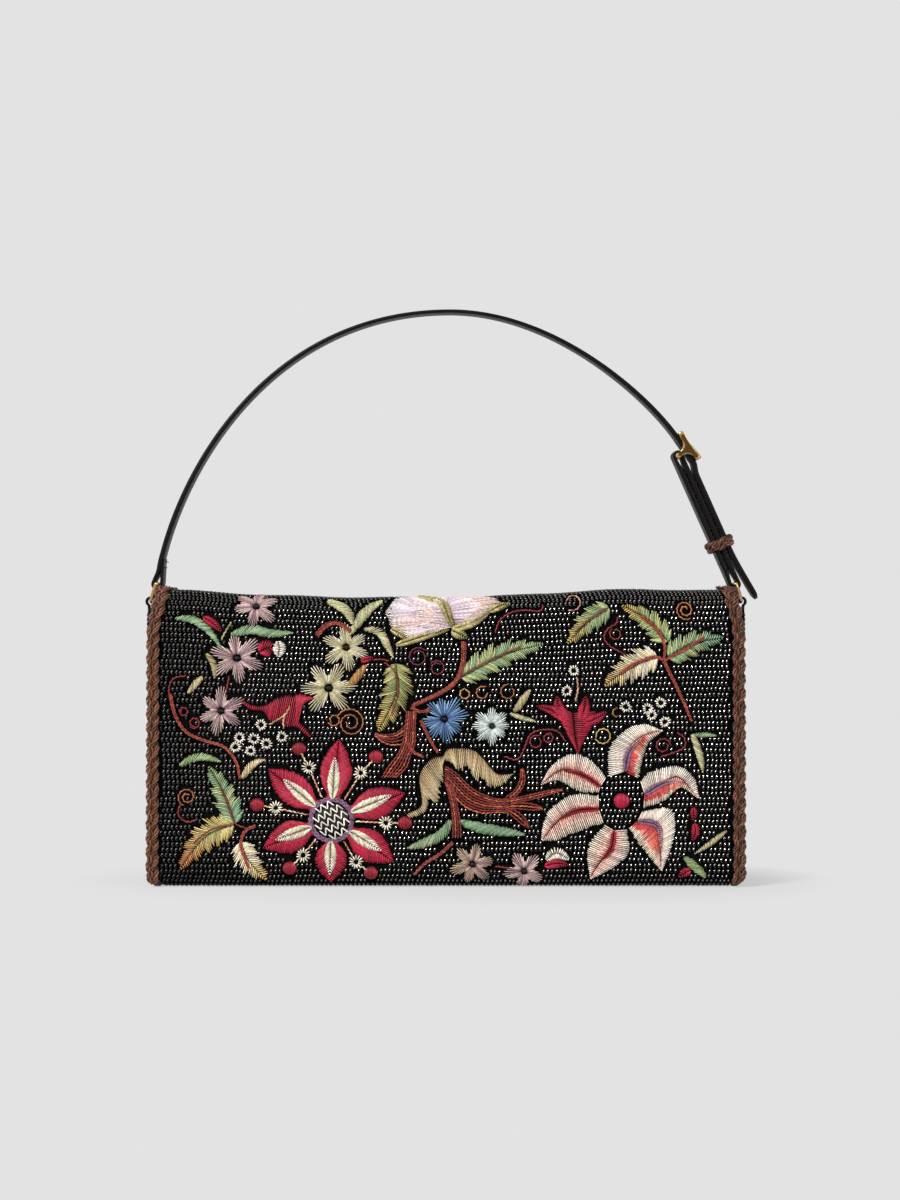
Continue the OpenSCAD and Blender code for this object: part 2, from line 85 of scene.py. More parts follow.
# %% Sizes read from the model
def low(node):
    """The lowest corner of a node's box, in millimetres."""
    return np.array(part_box(node)[0]) / MM


def high(node):
    """The highest corner of a node's box, in millimetres."""
    return np.array(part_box(node)[1]) / MM


PANEL_HALF = high("outer_panel")[0]
BODY_H = high("outer_panel")[2]
BASE_HALF = 27.0
TOP_HALF = 23.0
BASE_EDGE_R = 6.0
TOP_EDGE_R = 9.0
MOUTH_HALF = 10.2
GUSSET_T = high("gusset_right")[0] - PANEL_HALF
LEAN = math.atan((BASE_HALF - TOP_HALF) / BODY_H)
print("panel", 2 * PANEL_HALF, "mm long and", BODY_H, "mm high, gusset", round(GUSSET_T, 2), "mm")

# %% [markdown]
# ## Small tools for arrays
# A hue is written as the eye sees it, from 0 to 255, and turned into the linear light that
# shaders work in. `smooth` is the soft step that the model's own curves use.

# %% Colours, soft steps and curves
def hue(red, green, blue):
    """Linear light of a colour written from 0 to 255: each share is raised to the power 2.2 or
    so."""
    share = np.array([red, green, blue]) / 255
    return np.where(share > 0.04045, ((share + 0.055) / 1.055) ** 2.4, share / 12.92)


def smooth(t):
    """A soft step: 3t squared less 2t cubed, held at 0 and 1 outside."""
    c = np.clip(t, 0, 1)
    return c * c * (3 - 2 * c)


def mix(a, b, t):
    """The point a share t of the way from a to b."""
    return a + (b - a) * t


def unit(degrees):
    """The direction at an angle from the first axis."""
    return np.array([math.cos(math.radians(degrees)), math.sin(math.radians(degrees))])


def spline(points, count):
    """A smooth line through the points: each stretch is a cubic whose slope at a point is half the
    step between that point's neighbours. The result is spaced evenly along its length."""
    p = np.array(points, float)
    if len(p) == 2:
        return mix(p[0], p[1], np.linspace(0, 1, count)[:, None])
    ends = np.vstack([2 * p[0] - p[1], p, 2 * p[-1] - p[-2]])
    t = np.linspace(0, 1, 24, endpoint=False)[:, None]
    run = []
    for a, b, c, d in zip(ends[:-3], ends[1:-2], ends[2:-1], ends[3:]):
        run.append(0.5 * (2 * b + (c - a) * t + (2 * a - 5 * b + 4 * c - d) * t**2
                          + (3 * b - a - 3 * c + d) * t**3))
    run = np.vstack([*run, p[-1:]])
    return evenly(run, count)


def way_along(line):
    """How far along a line each of its points lies: the sum of the steps before it."""
    return np.concatenate([[0], np.cumsum(np.linalg.norm(np.diff(line, axis=0), axis=1))])


def evenly(line, count):
    """The same line with its points spaced evenly along its length."""
    gone = way_along(line)
    at = np.linspace(0, gone[-1], count)
    return np.stack([np.interp(at, gone, line[:, k]) for k in range(line.shape[1])], axis=1)


def unit_rows(ways):
    """The same directions, each made one long."""
    return ways / np.linalg.norm(ways, axis=-1, keepdims=True)


def headings(line):
    """The unit direction of a line at each of its points, from its neighbours."""
    return unit_rows(np.gradient(line, axis=0))


def left_of(ways):
    """Flat directions turned a quarter to the left: (a, b) becomes (-b, a)."""
    return np.stack([-ways[:, 1], ways[:, 0]], axis=1)


def length_of(line):
    """The length of a line: the sum of its steps."""
    return np.linalg.norm(np.diff(line, axis=0), axis=1).sum()


def grid_points(x, y, z):
    """Points from three arrays, each spread to the size of all."""
    return np.stack(np.broadcast_arrays(x, y, z), axis=-1)


print("soft step at a quarter:", smooth(0.25))

# %% [markdown]
# ## Making meshes from arrays
# A piece is one array of points and one of faces. A shape that repeats, such as a bead or a
# stitch, is one small pattern of faces that is offset for each copy, so that no loop runs
# over points. The volume's sign tells whether the faces point outwards.

# %% Turning arrays into pieces
def grid_faces(rows, cols, wrap=False):
    """Quads of a grid whose point (i, j) is number i * cols + j. With wrap, the last column meets
    the first."""
    i = np.arange(rows - 1)[:, None] * cols
    j = np.arange(cols if wrap else cols - 1)[None, :]
    k = (j + 1) % cols
    return np.stack([i + j, i + k, i + cols + k, i + cols + j], axis=-1).reshape(-1, 4)


def tube_faces(rings, sides):
    """Faces of a closed tube: rings of points, then one pole at each end, as quads and
    triangles."""
    quads = grid_faces(rings, sides, wrap=True)
    j = np.arange(sides)
    k = (j + 1) % sides
    first = np.stack([np.full(sides, rings * sides), k, j], axis=1)
    top = (rings - 1) * sides
    last = np.stack([np.full(sides, rings * sides + 1), top + j, top + k], axis=1)
    return quads, np.vstack([first, last])


def repeat_faces(patterns, copies, points_each):
    """The same quads and triangles for each copy, with its points' numbers moved on."""
    steps = np.arange(copies)[:, None, None] * points_each
    return [(faces[None] + steps).reshape(-1, faces.shape[1]) for faces in patterns]


def outwards(points, quads, tris):
    """The faces, turned over if they face inwards. The sum of the triple products of their corners,
    six times the volume inside, is then below zero."""
    halves = [quads[:, [0, 1, 2]], quads[:, [0, 2, 3]], tris]
    a, b, c = (points[np.vstack(halves)[:, k]] for k in range(3))
    if np.einsum("ij,ij->i", a, np.cross(b, c)).sum() < 0:
        return quads[:, ::-1], tris[:, ::-1]
    return quads, tris


NO_TRIS = np.zeros((0, 3), int)


def make_piece(name, points, quads, tris, body, material, uv=None, tone=None, replaces=()):
    """A piece from arrays in millimetres. uv and tone are given per point."""
    points = np.asarray(points, float).reshape(-1, 3)
    quads, tris = outwards(points, quads, tris)
    corners = np.concatenate([quads.ravel(), tris.ravel()]).astype(np.int32)
    sizes = np.concatenate([np.full(len(quads), 4), np.full(len(tris), 3)])
    mesh = bpy.data.meshes.new(name)
    mesh.vertices.add(len(points))
    mesh.vertices.foreach_set("co", (points * MM).astype(np.float32).ravel())
    mesh.loops.add(len(corners))
    mesh.loops.foreach_set("vertex_index", corners)
    mesh.polygons.add(len(sizes))
    mesh.polygons.foreach_set("loop_start", (np.cumsum(sizes) - sizes).astype(np.int32))
    mesh.update(calc_edges=True)
    mesh.polygons.foreach_set("use_smooth", np.ones(len(sizes), bool))
    if uv is not None:
        layer = mesh.uv_layers.new(name="UVMap")
        layer.data.foreach_set("uv", np.asarray(uv, np.float32).reshape(-1, 2)[corners].ravel())
    if tone is not None:
        attribute = mesh.attributes.new("tone", "FLOAT_COLOR", "POINT")
        full = np.ones((len(points), 4), np.float32)
        full[:, :3] = np.asarray(tone).reshape(-1, 3)
        attribute.data.foreach_set("color", full.ravel())
    mesh.materials.append(material)
    piece = bpy.data.objects.new(name, mesh)
    scene.collection.objects.link(piece)
    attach(piece, body)
    if replaces:
        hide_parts(*replaces)
    print(f"{name}: {len(quads) * 2 + len(tris)} triangles")
    return piece


# %% [markdown]
# ## Writing materials as sums
# A material is a small sum over the surface. The class below wraps one socket of the node
# tree, so that `grain * 0.3 + 0.5` adds the Math nodes that work it out. Any other node comes
# from `Shader.node`, which takes its settings first and then its inputs.

# %% A socket that can be added and multiplied
class Field:
    """One value that varies over a surface: a socket of a node tree."""

    def __init__(self, tree, socket):
        self.tree = tree
        self.socket = socket

    def math(self, operation, *others):
        """A Math node whose inputs are this field and the others."""
        node = self.tree.nodes.new("ShaderNodeMath")
        node.operation = operation
        for place, value in zip(node.inputs, [self, *others]):
            if isinstance(value, Field):
                self.tree.links.new(value.socket, place)
            else:
                place.default_value = value
        return Field(self.tree, node.outputs[0])

    def __add__(self, other):
        return self.math("ADD", other)

    def __sub__(self, other):
        return self.math("SUBTRACT", other)

    def __mul__(self, other):
        return self.math("MULTIPLY", other)

    def __rsub__(self, other):
        return (self * -1.0) + other

    def sin(self):
        return self.math("SINE")

    __radd__ = __add__
    __rmul__ = __mul__


class Shader:
    """A new material with its main shader, and one method for every other node."""

    def __init__(self, name, **constants):
        self.material = bpy.data.materials.new(name)
        self.material.use_nodes = True
        self.tree = self.material.node_tree
        self.main = self.tree.nodes["Principled BSDF"]
        for socket, value in constants.items():
            self.main.inputs[socket.replace("_", " ")].default_value = value

    def node(self, kind, settings=None, stops=None, output=0, **inputs):
        """A new node: its settings, then a ramp's stops, then its inputs by name or, as _6, by
        number."""
        node = self.tree.nodes.new("ShaderNode" + kind)
        for key, value in (settings or {}).items():
            setattr(node, key, value)
        if stops:
            ramp = node.color_ramp.elements
            while len(ramp) < len(stops):
                ramp.new(0.5)
            for element, (place, colour) in zip(ramp, stops):
                element.position = place
                element.color = (*colour, 1)
        for key, value in inputs.items():
            socket = node.inputs[int(key[1:]) if key[1:].isdigit() else key.replace("_", " ")]
            if isinstance(value, Field):
                self.tree.links.new(value.socket, socket)
            else:
                socket.default_value = value
        return Field(self.tree, node.outputs[output])

    def place(self):
        """Object coordinates, in metres."""
        return self.node("TexCoord", output=3)

    def flat_place(self):
        """The piece's own UV map."""
        return self.node("TexCoord", output=2)

    def tone(self):
        """The colour that the piece's points carry."""
        return self.node("Attribute", {"attribute_name": "tone"})

    def noise(self, place, scale, detail=2.0):
        """Clouds with so many to the metre."""
        return self.node("TexNoise", Vector=place, Scale=scale, Detail=detail)

    def remap(self, value, first, last, start, end, soft=False):
        """The way from first to last made the way from start to end, with soft ends if asked."""
        settings = {"interpolation_type": "SMOOTHSTEP"} if soft else None
        return self.node("MapRange", settings, Value=value, From_Min=first, From_Max=last,
                         To_Min=start, To_Max=end)

    def greys(self, value, *stops):
        """A ramp of greys, whose stops are pairs of a place and a grey."""
        return self.node("ValToRGB", stops=[(place, (grey,) * 3) for place, grey in stops], Fac=value)

    def parts(self, place):
        """The three parts of a place, each as a field."""
        split = self.node("SeparateXYZ", Vector=place)
        node = split.socket.node
        return [Field(self.tree, node.outputs[k]) for k in range(3)]

    def blend(self, share, first, second):
        """A colour mixed by a share. Colours are linear triples or fields."""
        full = [c if isinstance(c, Field) else (*c, 1.0) for c in (first, second)]
        return self.node("Mix", {"data_type": "RGBA"}, output=2, _0=share, _6=full[0], _7=full[1])

    def tinted(self, colour, share):
        """A colour field multiplied by a grey share field."""
        return self.node("Mix", {"data_type": "RGBA", "blend_type": "MULTIPLY"}, output=2,
                         _0=1.0, _6=colour, _7=share)

    def bump(self, height, distance, strength):
        """Relief of that height field, in metres."""
        normal = self.node("Bump", Height=height, Distance=distance, Strength=strength)
        self.tree.links.new(normal.socket, self.main.inputs["Normal"])

    def feed(self, **fields):
        """Fields to the main shader's sockets, and the finished material."""
        for key, value in fields.items():
            self.tree.links.new(value.socket, self.main.inputs[key.replace("_", " ")])
        return self.material


# %% [markdown]
# ## Finishes
# Beads are glossy black glass with painted highlights. Silk thread has a fine twist with painted
# shade in its grooves, and a soft sheen. Leather has a pebbled grain and a glossier painted edge.
# Cloths have a weave whose lines are sines of their own coordinates. Each finish is a function,
# so that its numbers stay beside it.

# %% Glass beads
# Places, sizes and strength of the painted highlights on each bead: a glint spot and a rim arc.
PAINTED_GLINT_PLACE = (-0.3, 0.42)
PAINTED_GLINT_SIZE = 0.31
PAINTED_RIM_FAR = 0.52
PAINTED_RIM_WIDE = 0.17
PAINTED_RIM_STRENGTH = 0.17


def bead_glass():
    """Black glass with two painted highlights, whitish metallic marks whose places on a bead come
    from the UV map. A round painted glint lies up and to the left, weaker towards the bag's left
    end. A thin painted rim highlight runs round the bead's left half. Both fade at the foot, as
    painted shade where the panel turns under."""
    s = Shader("bead_glass", Specular_IOR_Level=0.03)
    along, turn, _ = s.parts(s.flat_place())
    rise = (turn * (2 * math.pi)).sin()
    a = (along - PAINTED_GLINT_PLACE[0]) * (1 / PAINTED_GLINT_SIZE)
    b = (rise - PAINTED_GLINT_PLACE[1]) * (1 / PAINTED_GLINT_SIZE)
    painted_glint = s.remap(a * a + b * b, 0.3, 1.2, 1.0, 0.0, soft=True)
    off = (along * along + rise * rise - PAINTED_RIM_FAR) * (1 / PAINTED_RIM_WIDE)
    rim = s.remap(off * off, 0.2, 1.2, PAINTED_RIM_STRENGTH, 0.0, soft=True)
    left = s.remap(along, -0.1, 0.4, 1.0, 0.0)
    x, _, z = s.parts(s.place())
    cloud = s.noise(s.place(), 520.0)
    uneven = s.remap(cloud, 0.32, 0.68, 0.3, 1.0)
    right = s.remap(x, -0.13, -0.04, 0.2, 1.0)
    painted_foot_shade = s.remap(z, 0.003, 0.016, 0.3, 1.0)
    # painted highlight: a whitish metallic spot and arc, dimmed by painted shade at the foot
    painted_highlight = (painted_glint * uneven * right + rim * left) * painted_foot_shade
    return s.feed(Base_Color=s.blend(painted_highlight, s.tone(), hue(250, 246, 240)), Metallic=painted_highlight,
                  Roughness=cloud * 0.1 + 0.06)


# %% Silk thread, floss and braid
def silk(name, gloss, twist, ply):
    """Spun thread: stripes of painted shade that run along and round it, darker in the grooves of
    the twist, from the UV map in millimetres and turns."""
    s = Shader(name, Roughness=gloss, Specular_IOR_Level=0.3, Sheen_Weight=0.04, Sheen_Roughness=0.4)
    along, turn, _ = s.parts(s.flat_place())
    stripe = ((along * twist + turn * ply) * (2 * math.pi)).sin() * 0.5 + 0.5
    fuzz = s.noise(s.place(), 2600.0, 3.0)
    # painted shade: the twist's grooves darker, where the bump is low
    painted_shade = s.greys(stripe * 0.75 + fuzz * 0.3, (0.0, 0.62), (0.6, 1.0))
    s.bump(stripe + fuzz * 0.4, 0.00008, 0.6)
    return s.feed(Base_Color=s.tinted(s.tone(), painted_shade), Roughness=fuzz * 0.3 + (gloss - 0.12))


# %% Leather with a grain and a painted edge
def leather(name, face, edge, gloss):
    """Pebbled leather: a cell pattern for the grain, and edge paint where the tone's red is
    high."""
    s = Shader(name, Roughness=gloss, Specular_IOR_Level=0.12)
    place = s.place()
    cell = s.node("TexVoronoi", {"feature": "SMOOTH_F1"}, Vector=place, Scale=1500.0, Smoothness=0.6)
    pores = s.noise(place, 3200.0, 3.0)
    cloud = s.noise(place, 60.0, 3.0)
    painted = s.parts(s.tone())[0]
    worn = s.greys(cloud, (0.3, 0.8), (0.75, 1.25))
    body = s.tinted(s.blend(pores * 0.35, face, [min(1, c * 1.7 + 0.01) for c in face]), worn)
    s.bump(cell * 0.7 + pores * 0.3, 0.00006, 0.45)
    return s.feed(Base_Color=s.blend(painted, body, edge),
                  Roughness=cloud * 0.15 + pores * 0.1 + (gloss - 0.1) - painted * 0.08)


# %% Woven cloths
def cloth(name, warp, weft, pitch, lean, gloss, sheen):
    """A weave on object coordinates: two families of sine ridges, `pitch` metres apart. With lean 1
    the ridges step sideways row by row, which is a twill or a satin."""
    s = Shader(name, Roughness=gloss, Specular_IOR_Level=0.05 + sheen, Sheen_Weight=sheen,
               Sheen_Roughness=0.35)
    x, y, z = s.parts(s.place())
    up = 2 * math.pi / pitch
    ridge = ((x + y + z * lean) * up).sin()
    cross = ((z - (x + y) * (1.0 - lean)) * (up * 0.5)).sin()
    cloud = s.noise(s.place(), 90.0, 3.0)
    weave = ridge * 0.5 + cross * 0.3 + 0.5
    s.bump(weave + cloud * 0.3, 0.00007, 0.5)
    return s.feed(Base_Color=s.blend(weave * 0.5 + cloud * 0.5, warp, weft),
                  Roughness=cloud * 0.25 + (gloss - 0.1))


# %% Gold plate, and board
def gold_plate():
    """Polished gold plate with faint scratches and clouds. The tone's red is the share of dark
    wear."""
    s = Shader("gold_plate", Metallic=1.0, Roughness=0.2)
    place = s.place()
    cloud = s.noise(place, 180.0, 3.0)
    fine = s.noise(place, 2400.0, 2.0)
    s.bump(fine, 0.00001, 0.3)
    worn = s.parts(s.tone())[0]
    bright = s.blend(cloud, hue(172, 132, 80), hue(214, 176, 114))
    return s.feed(Base_Color=s.blend(worn, bright, hue(74, 50, 26)),
                  Roughness=cloud * 0.16 + fine * 0.1 + 0.1)


def board_stock():
    """Grey-brown stiffening board with short fibres."""
    s = Shader("board_stock", Roughness=0.85)
    fibre = s.noise(s.place(), 1100.0, 4.0)
    return s.feed(Base_Color=s.blend(fibre, hue(120, 104, 84), hue(158, 142, 116)))


BEAD_GLASS = bead_glass()
FLOSS = silk("silk_floss", 0.42, 0.45, 1.0)
CORD_SILK = silk("braid_silk", 0.32, 0.5, 3.0)
STRAP_LEATHER = leather("strap_leather", hue(50, 45, 42), hue(8, 6, 5), 0.5)
TAB_LEATHER = leather("tab_leather", hue(30, 27, 25), hue(15, 13, 12), 0.4)
PANEL_CLOTH = cloth("panel_cloth", hue(3, 3, 3), hue(7, 6, 6), 0.0009, 0.0, 0.75, 0.0)
SATIN = cloth("gusset_satin", hue(20, 18, 18), hue(36, 33, 32), 0.0007, 1.0, 0.5, 0.3)
TWILL = cloth("lining_twill", hue(66, 46, 33), hue(92, 66, 47), 0.0011, 1.0, 0.7, 0.2)
TAPE = cloth("zip_tape", hue(24, 21, 20), hue(42, 38, 36), 0.0012, 0.5, 0.75, 0.15)
GOLD = gold_plate()
BOARD = board_stock()
print("finishes:", len(bpy.data.materials))

# %% [markdown]
# ## The beaded panel's surface
# One strip of cloth wraps the front, the base and the back. A place on it has two numbers:
# `u` along the bag, and `s` round its section, from the middle of the base, up the front
# where it is positive and up the back where it is negative. A third number, `h`, stands out
# from the surface. The section is a flat base, a small round, a leaning wall, and a wide
# round over the top. A real bag settles, so the finished points sink a little in the middle
# of the top, draw in at the upper corners, and round off at the lower ones.

# %% The section and the settled surface
TOP_START = BODY_H - TOP_EDGE_R
BASE_Y = BASE_HALF - BASE_EDGE_R * math.tan(LEAN) - BASE_EDGE_R / math.cos(LEAN)
TOP_Y = BASE_HALF - TOP_START * math.tan(LEAN) - TOP_EDGE_R / math.cos(LEAN)
BASE_STEPS = 12
LOW_STEPS = 24
HIGH_STEPS = 32
LIP_STEPS = 7


def half_section():
    """Points (distance from the middle, height) of half the section, with their outward directions:
    straight runs as they are, round runs as a circle's cosine and sine."""
    low_turn = np.linspace(-math.pi / 2, LEAN, LOW_STEPS)
    high_turn = np.linspace(LEAN, math.pi / 2, HIGH_STEPS)
    flat = np.linspace(0, BASE_Y, BASE_STEPS, endpoint=False)
    lip = np.linspace(TOP_Y, MOUTH_HALF, LIP_STEPS + 1)[1:]
    y = np.concatenate([flat, BASE_Y + BASE_EDGE_R * np.cos(low_turn),
                        TOP_Y + TOP_EDGE_R * np.cos(high_turn), lip])
    z = np.concatenate([flat * 0, BASE_EDGE_R + BASE_EDGE_R * np.sin(low_turn),
                        TOP_START + TOP_EDGE_R * np.sin(high_turn), lip * 0 + BODY_H])
    turn = np.concatenate([flat * 0 - math.pi / 2, low_turn, high_turn, lip * 0 + math.pi / 2])
    gone = np.concatenate([[0], np.cumsum(np.hypot(np.diff(y), np.diff(z)))])
    return gone, y, z, turn


ARC, SIDE_Y, SIDE_Z, SIDE_TURN = half_section()
S_END = ARC[-1]
BASE_REACH = ARC[BASE_STEPS + LOW_STEPS // 3]
TOP_S, ROLL_S = ARC[BASE_STEPS + LOW_STEPS + np.array([0, 4])]
SAG_DEPTH = 4.3
SAG_MIDDLE = -26.0
SAG_SPREAD = 74.0
CORNER_DRAW = 4.2
CORNER_FOOT = 118
CORNER_HIGH = 26
FOOT_ROUND = 3.6
FOOT_HIGH = 6


def sag(x):
    """How far the top has sunk at x: a bell of that depth and spread, less a slow ripple."""
    bell = np.exp(-(((x - SAG_MIDDLE) / SAG_SPREAD) ** 2))
    return SAG_DEPTH * bell + 0.5 * np.sin(x / 19.0) + 0.3 * np.sin(x / 8.3 + 1.0)


def settle(p):
    """The settled place of a point of the new bag. The top sinks with the cube of the height, the
    upper corners draw in over the last 26 mm, the lower corners round off over 6 mm, and the walls
    ripple by half a millimetre."""
    x, y, z = p[..., 0], p[..., 1], p[..., 2]
    height = np.clip(z / BODY_H, 0, 1.1)
    wall = smooth((np.abs(y) - 7) / 8)
    end = np.clip(np.abs(x) / PANEL_HALF, 0, 1)
    drop = sag(x) * height**3 * (1 - smooth((end - 0.93) / 0.07))
    draw = CORNER_DRAW * smooth((z - CORNER_FOOT) / CORNER_HIGH) ** 1.5 * end**6 * wall
    foot = FOOT_ROUND * np.clip(1 - z / FOOT_HIGH, 0, 1) ** 2 * end**30
    ripple = 0.35 * np.sin(x / 31 + z / 47) + 0.25 * np.sin(x / 13 - z / 29 + 2)
    out = np.sign(y) * ripple * wall * smooth(z / 20) * (1 - smooth((end - 0.9) / 0.1))
    return np.stack([x - np.sign(x) * (draw + foot), y + out, z - drop], axis=-1)


def on_panel(u, s, h):
    """The settled point at u and s, standing h off the surface: the section's point plus h along
    its outward direction, with the front on the side of -Y."""
    u, s, h = np.broadcast_arrays(u, s, h)
    gone = np.abs(s)
    y = np.interp(gone, ARC, SIDE_Y)
    z = np.interp(gone, ARC, SIDE_Z)
    turn = np.interp(gone, ARC, SIDE_TURN)
    side = -np.sign(s)
    y = y + h * np.cos(turn)
    z = z + h * np.sin(turn)
    return settle(np.stack([u, side * y, z], axis=-1))


print("the strip is", round(2 * S_END, 1), "mm long round its section")

# %% [markdown]
# ## The panel's cloth
# The cloth under the beads is a closed shell, a touch inside the beads' tops. It stands for
# the model's panel, whose outer face is where the beads end.

# %% Panel cloth
CLOTH_OUT = -1.75
CLOTH_IN = -2.55


def shell(outer, inner):
    """A closed shell between two grids of the same size: both skins, and a rim along all four
    edges."""
    rows, cols = outer.shape[:2]
    skin = grid_faces(rows, cols)
    back = skin[:, ::-1] + rows * cols
    index = np.arange(rows * cols).reshape(rows, cols)
    loop = np.concatenate([index[0, :], index[1:, -1], index[-1, -2::-1], index[-2:0:-1, 0]])
    after = np.roll(loop, -1)
    rim = np.stack([after, loop, loop + rows * cols, after + rows * cols], axis=1)
    return np.concatenate([outer.reshape(-1, 3), inner.reshape(-1, 3)]), np.vstack([skin, back, rim])


def panel_cloth():
    """The strip's grid, closer on the rounds because s steps with the section's own points."""
    half = np.unique(np.concatenate([ARC, np.linspace(TOP_S, ROLL_S, 40)]))
    half = half[half < S_END - 0.6]
    s = np.concatenate([-half[:0:-1], half])[:, None]
    u = np.linspace(-PANEL_HALF, PANEL_HALF, 110)[None, :]
    points, quads = shell(on_panel(u, s, CLOTH_OUT), on_panel(u, s, CLOTH_IN))
    return make_piece("panel_cloth", points, quads, NO_TRIS, "root", PANEL_CLOTH,
                      replaces=["outer_panel"])


panel_sheet = panel_cloth()

# %% [markdown]
# ## A stitch
# All the embroidery is made of one thing: a thread that comes up through the cloth, lies over
# it, and goes down again. It is a flattened tube with closed ends, whose middle stands higher
# than its ends. A `Work` collects stitches and makes them one piece. Its stitches keep their
# flat places too, because the beads have to leave that ground free.

# %% A work of stitches
RING_AT = np.array([0.05, 0.26, 0.5, 0.74, 0.95])
STITCH_SIDES = 5
covered = []


class Work:
    """Stitches of one kind of motif, on the panel's surface."""

    def __init__(self, name):
        self.name = name
        self.rows = []

    def lay(self, start, end, width, tone_a, tone_b, lift=0.1, bow=0.0, foot=-1.3):
        """Threads from start to end. lift and foot are the heights of the middle and of the
        ends."""
        n = len(start)
        spread = [np.broadcast_to(np.asarray(v, float), shape)
                  for v, shape in ((width, (n,)), (tone_a, (n, 3)), (tone_b, (n, 3)),
                                   (lift, (n,)), (bow, (n,)), (foot, (n,)))]
        self.rows.append([np.asarray(start, float), np.asarray(end, float), *spread])

    def make(self):
        """The mesh: along a thread the place is a parabola through its bowed middle, the height is
        a flat-topped arch, and the ring's half width swells from its ends. Its sides and ends carry
        painted shade and its top is painted lighter, as light falls on a raised thread."""
        start, end, width, tone_a, tone_b, lift, bow, foot = (np.concatenate(c) for c in zip(*self.rows))
        n = len(start)
        step = end - start
        length = np.linalg.norm(step, axis=1) + 1e-6
        side = left_of(step) / length[:, None]
        at = np.concatenate([RING_AT, [0.0, 1.0]])
        arch = 4 * at * (1 - at)
        line = start[:, None] + step[:, None] * at[None, :, None]
        line = line + side[:, None] * (bow[:, None] * arch)[..., None]
        height = mix(foot[:, None], lift[:, None], arch[None] ** 0.45)
        covered.append(line.reshape(-1, 2))
        turn = np.arange(STITCH_SIDES) / STITCH_SIDES * 2 * math.pi - math.pi / 2
        swell = 0.5 * width[:, None] * (4 * RING_AT * (1 - RING_AT))[None] ** 0.16
        rings = len(RING_AT)
        across = swell[..., None] * np.cos(turn)
        flat = line[:, :rings, None] + side[:, None, None] * across[..., None]
        tall = height[:, :rings, None] + 0.8 * swell[..., None] * np.sin(turn)
        flat = np.concatenate([flat.reshape(n, -1, 2), line[:, rings:]], axis=1)
        tall = np.concatenate([tall.reshape(n, -1), height[:, rings:]], axis=1)
        points = on_panel(flat[..., 0], flat[..., 1], tall)
        share = np.concatenate([np.repeat(RING_AT, STITCH_SIDES), [0.0, 1.0]])
        tone = mix(tone_a[:, None], tone_b[:, None], share[None, :, None])
        # painted light and shade: foot and sides darker, top lighter, ends darker
        painted_shade = np.concatenate([np.tile(0.8 + 0.45 * np.sin(turn), rings), [0.7, 0.7]])
        tone = tone * rng.uniform(0.6, 1.25, (n, 1, 1)) * painted_shade[None, :, None]
        along = length[:, None] * share[None] + rng.uniform(0, 5, (n, 1))
        around = np.concatenate([np.tile(np.arange(STITCH_SIDES) / STITCH_SIDES, rings), [0.5, 0.5]])
        uv = np.stack([along, np.broadcast_to(around, along.shape)], axis=-1)
        quads, tris = repeat_faces(tube_faces(rings, STITCH_SIDES), n, rings * STITCH_SIDES + 2)
        make_piece(self.name, points, quads, tris, "root", FLOSS, uv=uv, tone=tone)
        return n


# %% [markdown]
# ## Placing the motifs
# The embroidery is traditional crewel work: leaves, stems, tendrils, stars and two large
# blooms. Each motif's points are where it is seen on the front, in the picture's own frame of
# 900 by 1200, and `spot` turns them into places on the panel. The camera looks at the front
# square on, so this is one scale and one shift, and then the way up the section.

# %% From the picture's frame to the panel
PICTURE_SCALE = 0.4833
PICTURE_MIDDLE_X = 446.0
PICTURE_FLOOR_Y = 887.0
climbs = SIDE_TURN < math.pi / 2
WALL_Z = np.append(SIDE_Z[climbs], BODY_H + 8)
WALL_S = np.append(ARC[climbs], ARC[climbs][-1] + 8)


def spot(points):
    """Panel places of picture points: the height is raised by the sag before it is looked up on the
    section."""
    p = np.asarray(points, float).reshape(-1, 2)
    x = (p[:, 0] - PICTURE_MIDDLE_X) * PICTURE_SCALE
    z = (PICTURE_FLOOR_Y - p[:, 1]) * PICTURE_SCALE
    z = z + sag(x) * np.clip(z / BODY_H, 0, 1) ** 3
    return np.stack([x, np.interp(z, WALL_Z, WALL_S)], axis=1)


def stretch(pixels):
    """A length in the picture, in millimetres."""
    return pixels * PICTURE_SCALE


print("the picture's foot is at", spot([(PICTURE_MIDDLE_X, PICTURE_FLOOR_Y)])[0].round(1))

# %% [markdown]
# ## Leaves and petals
# A leaf is worked from its vein: a thread leaves the vein every millimetre and runs forwards
# to the edge, on one side and then the other. The same stitch makes petals, buds and bands
# when its outline and colours change. A narrow leaf is worked in slanting threads from edge
# to edge. Broad shapes are satin, or a fan: threads between two lines or two arcs.

# %% The leaf stitch
THREAD = 0.7
SPACING = 0.95
LEAF_CLOSENESS = 1.12


def along_line(line, t):
    """Points and unit directions at shares t of an evenly spaced line."""
    at = np.linspace(0, 1, len(line))
    place, course = (np.stack([np.interp(t, at, way[:, k]) for k in (0, 1)], axis=1)
                     for way in (line, headings(line)))
    return place, unit_rows(course)


def vein_of(line, spacing):
    """A vein through picture points, its length, and the shares of it where threads land."""
    fine = evenly(spline(spot(line), 60), 200)
    length = length_of(fine)
    count = max(6, int(length / spacing))
    return fine, length, (np.arange(count) + 0.5) / count


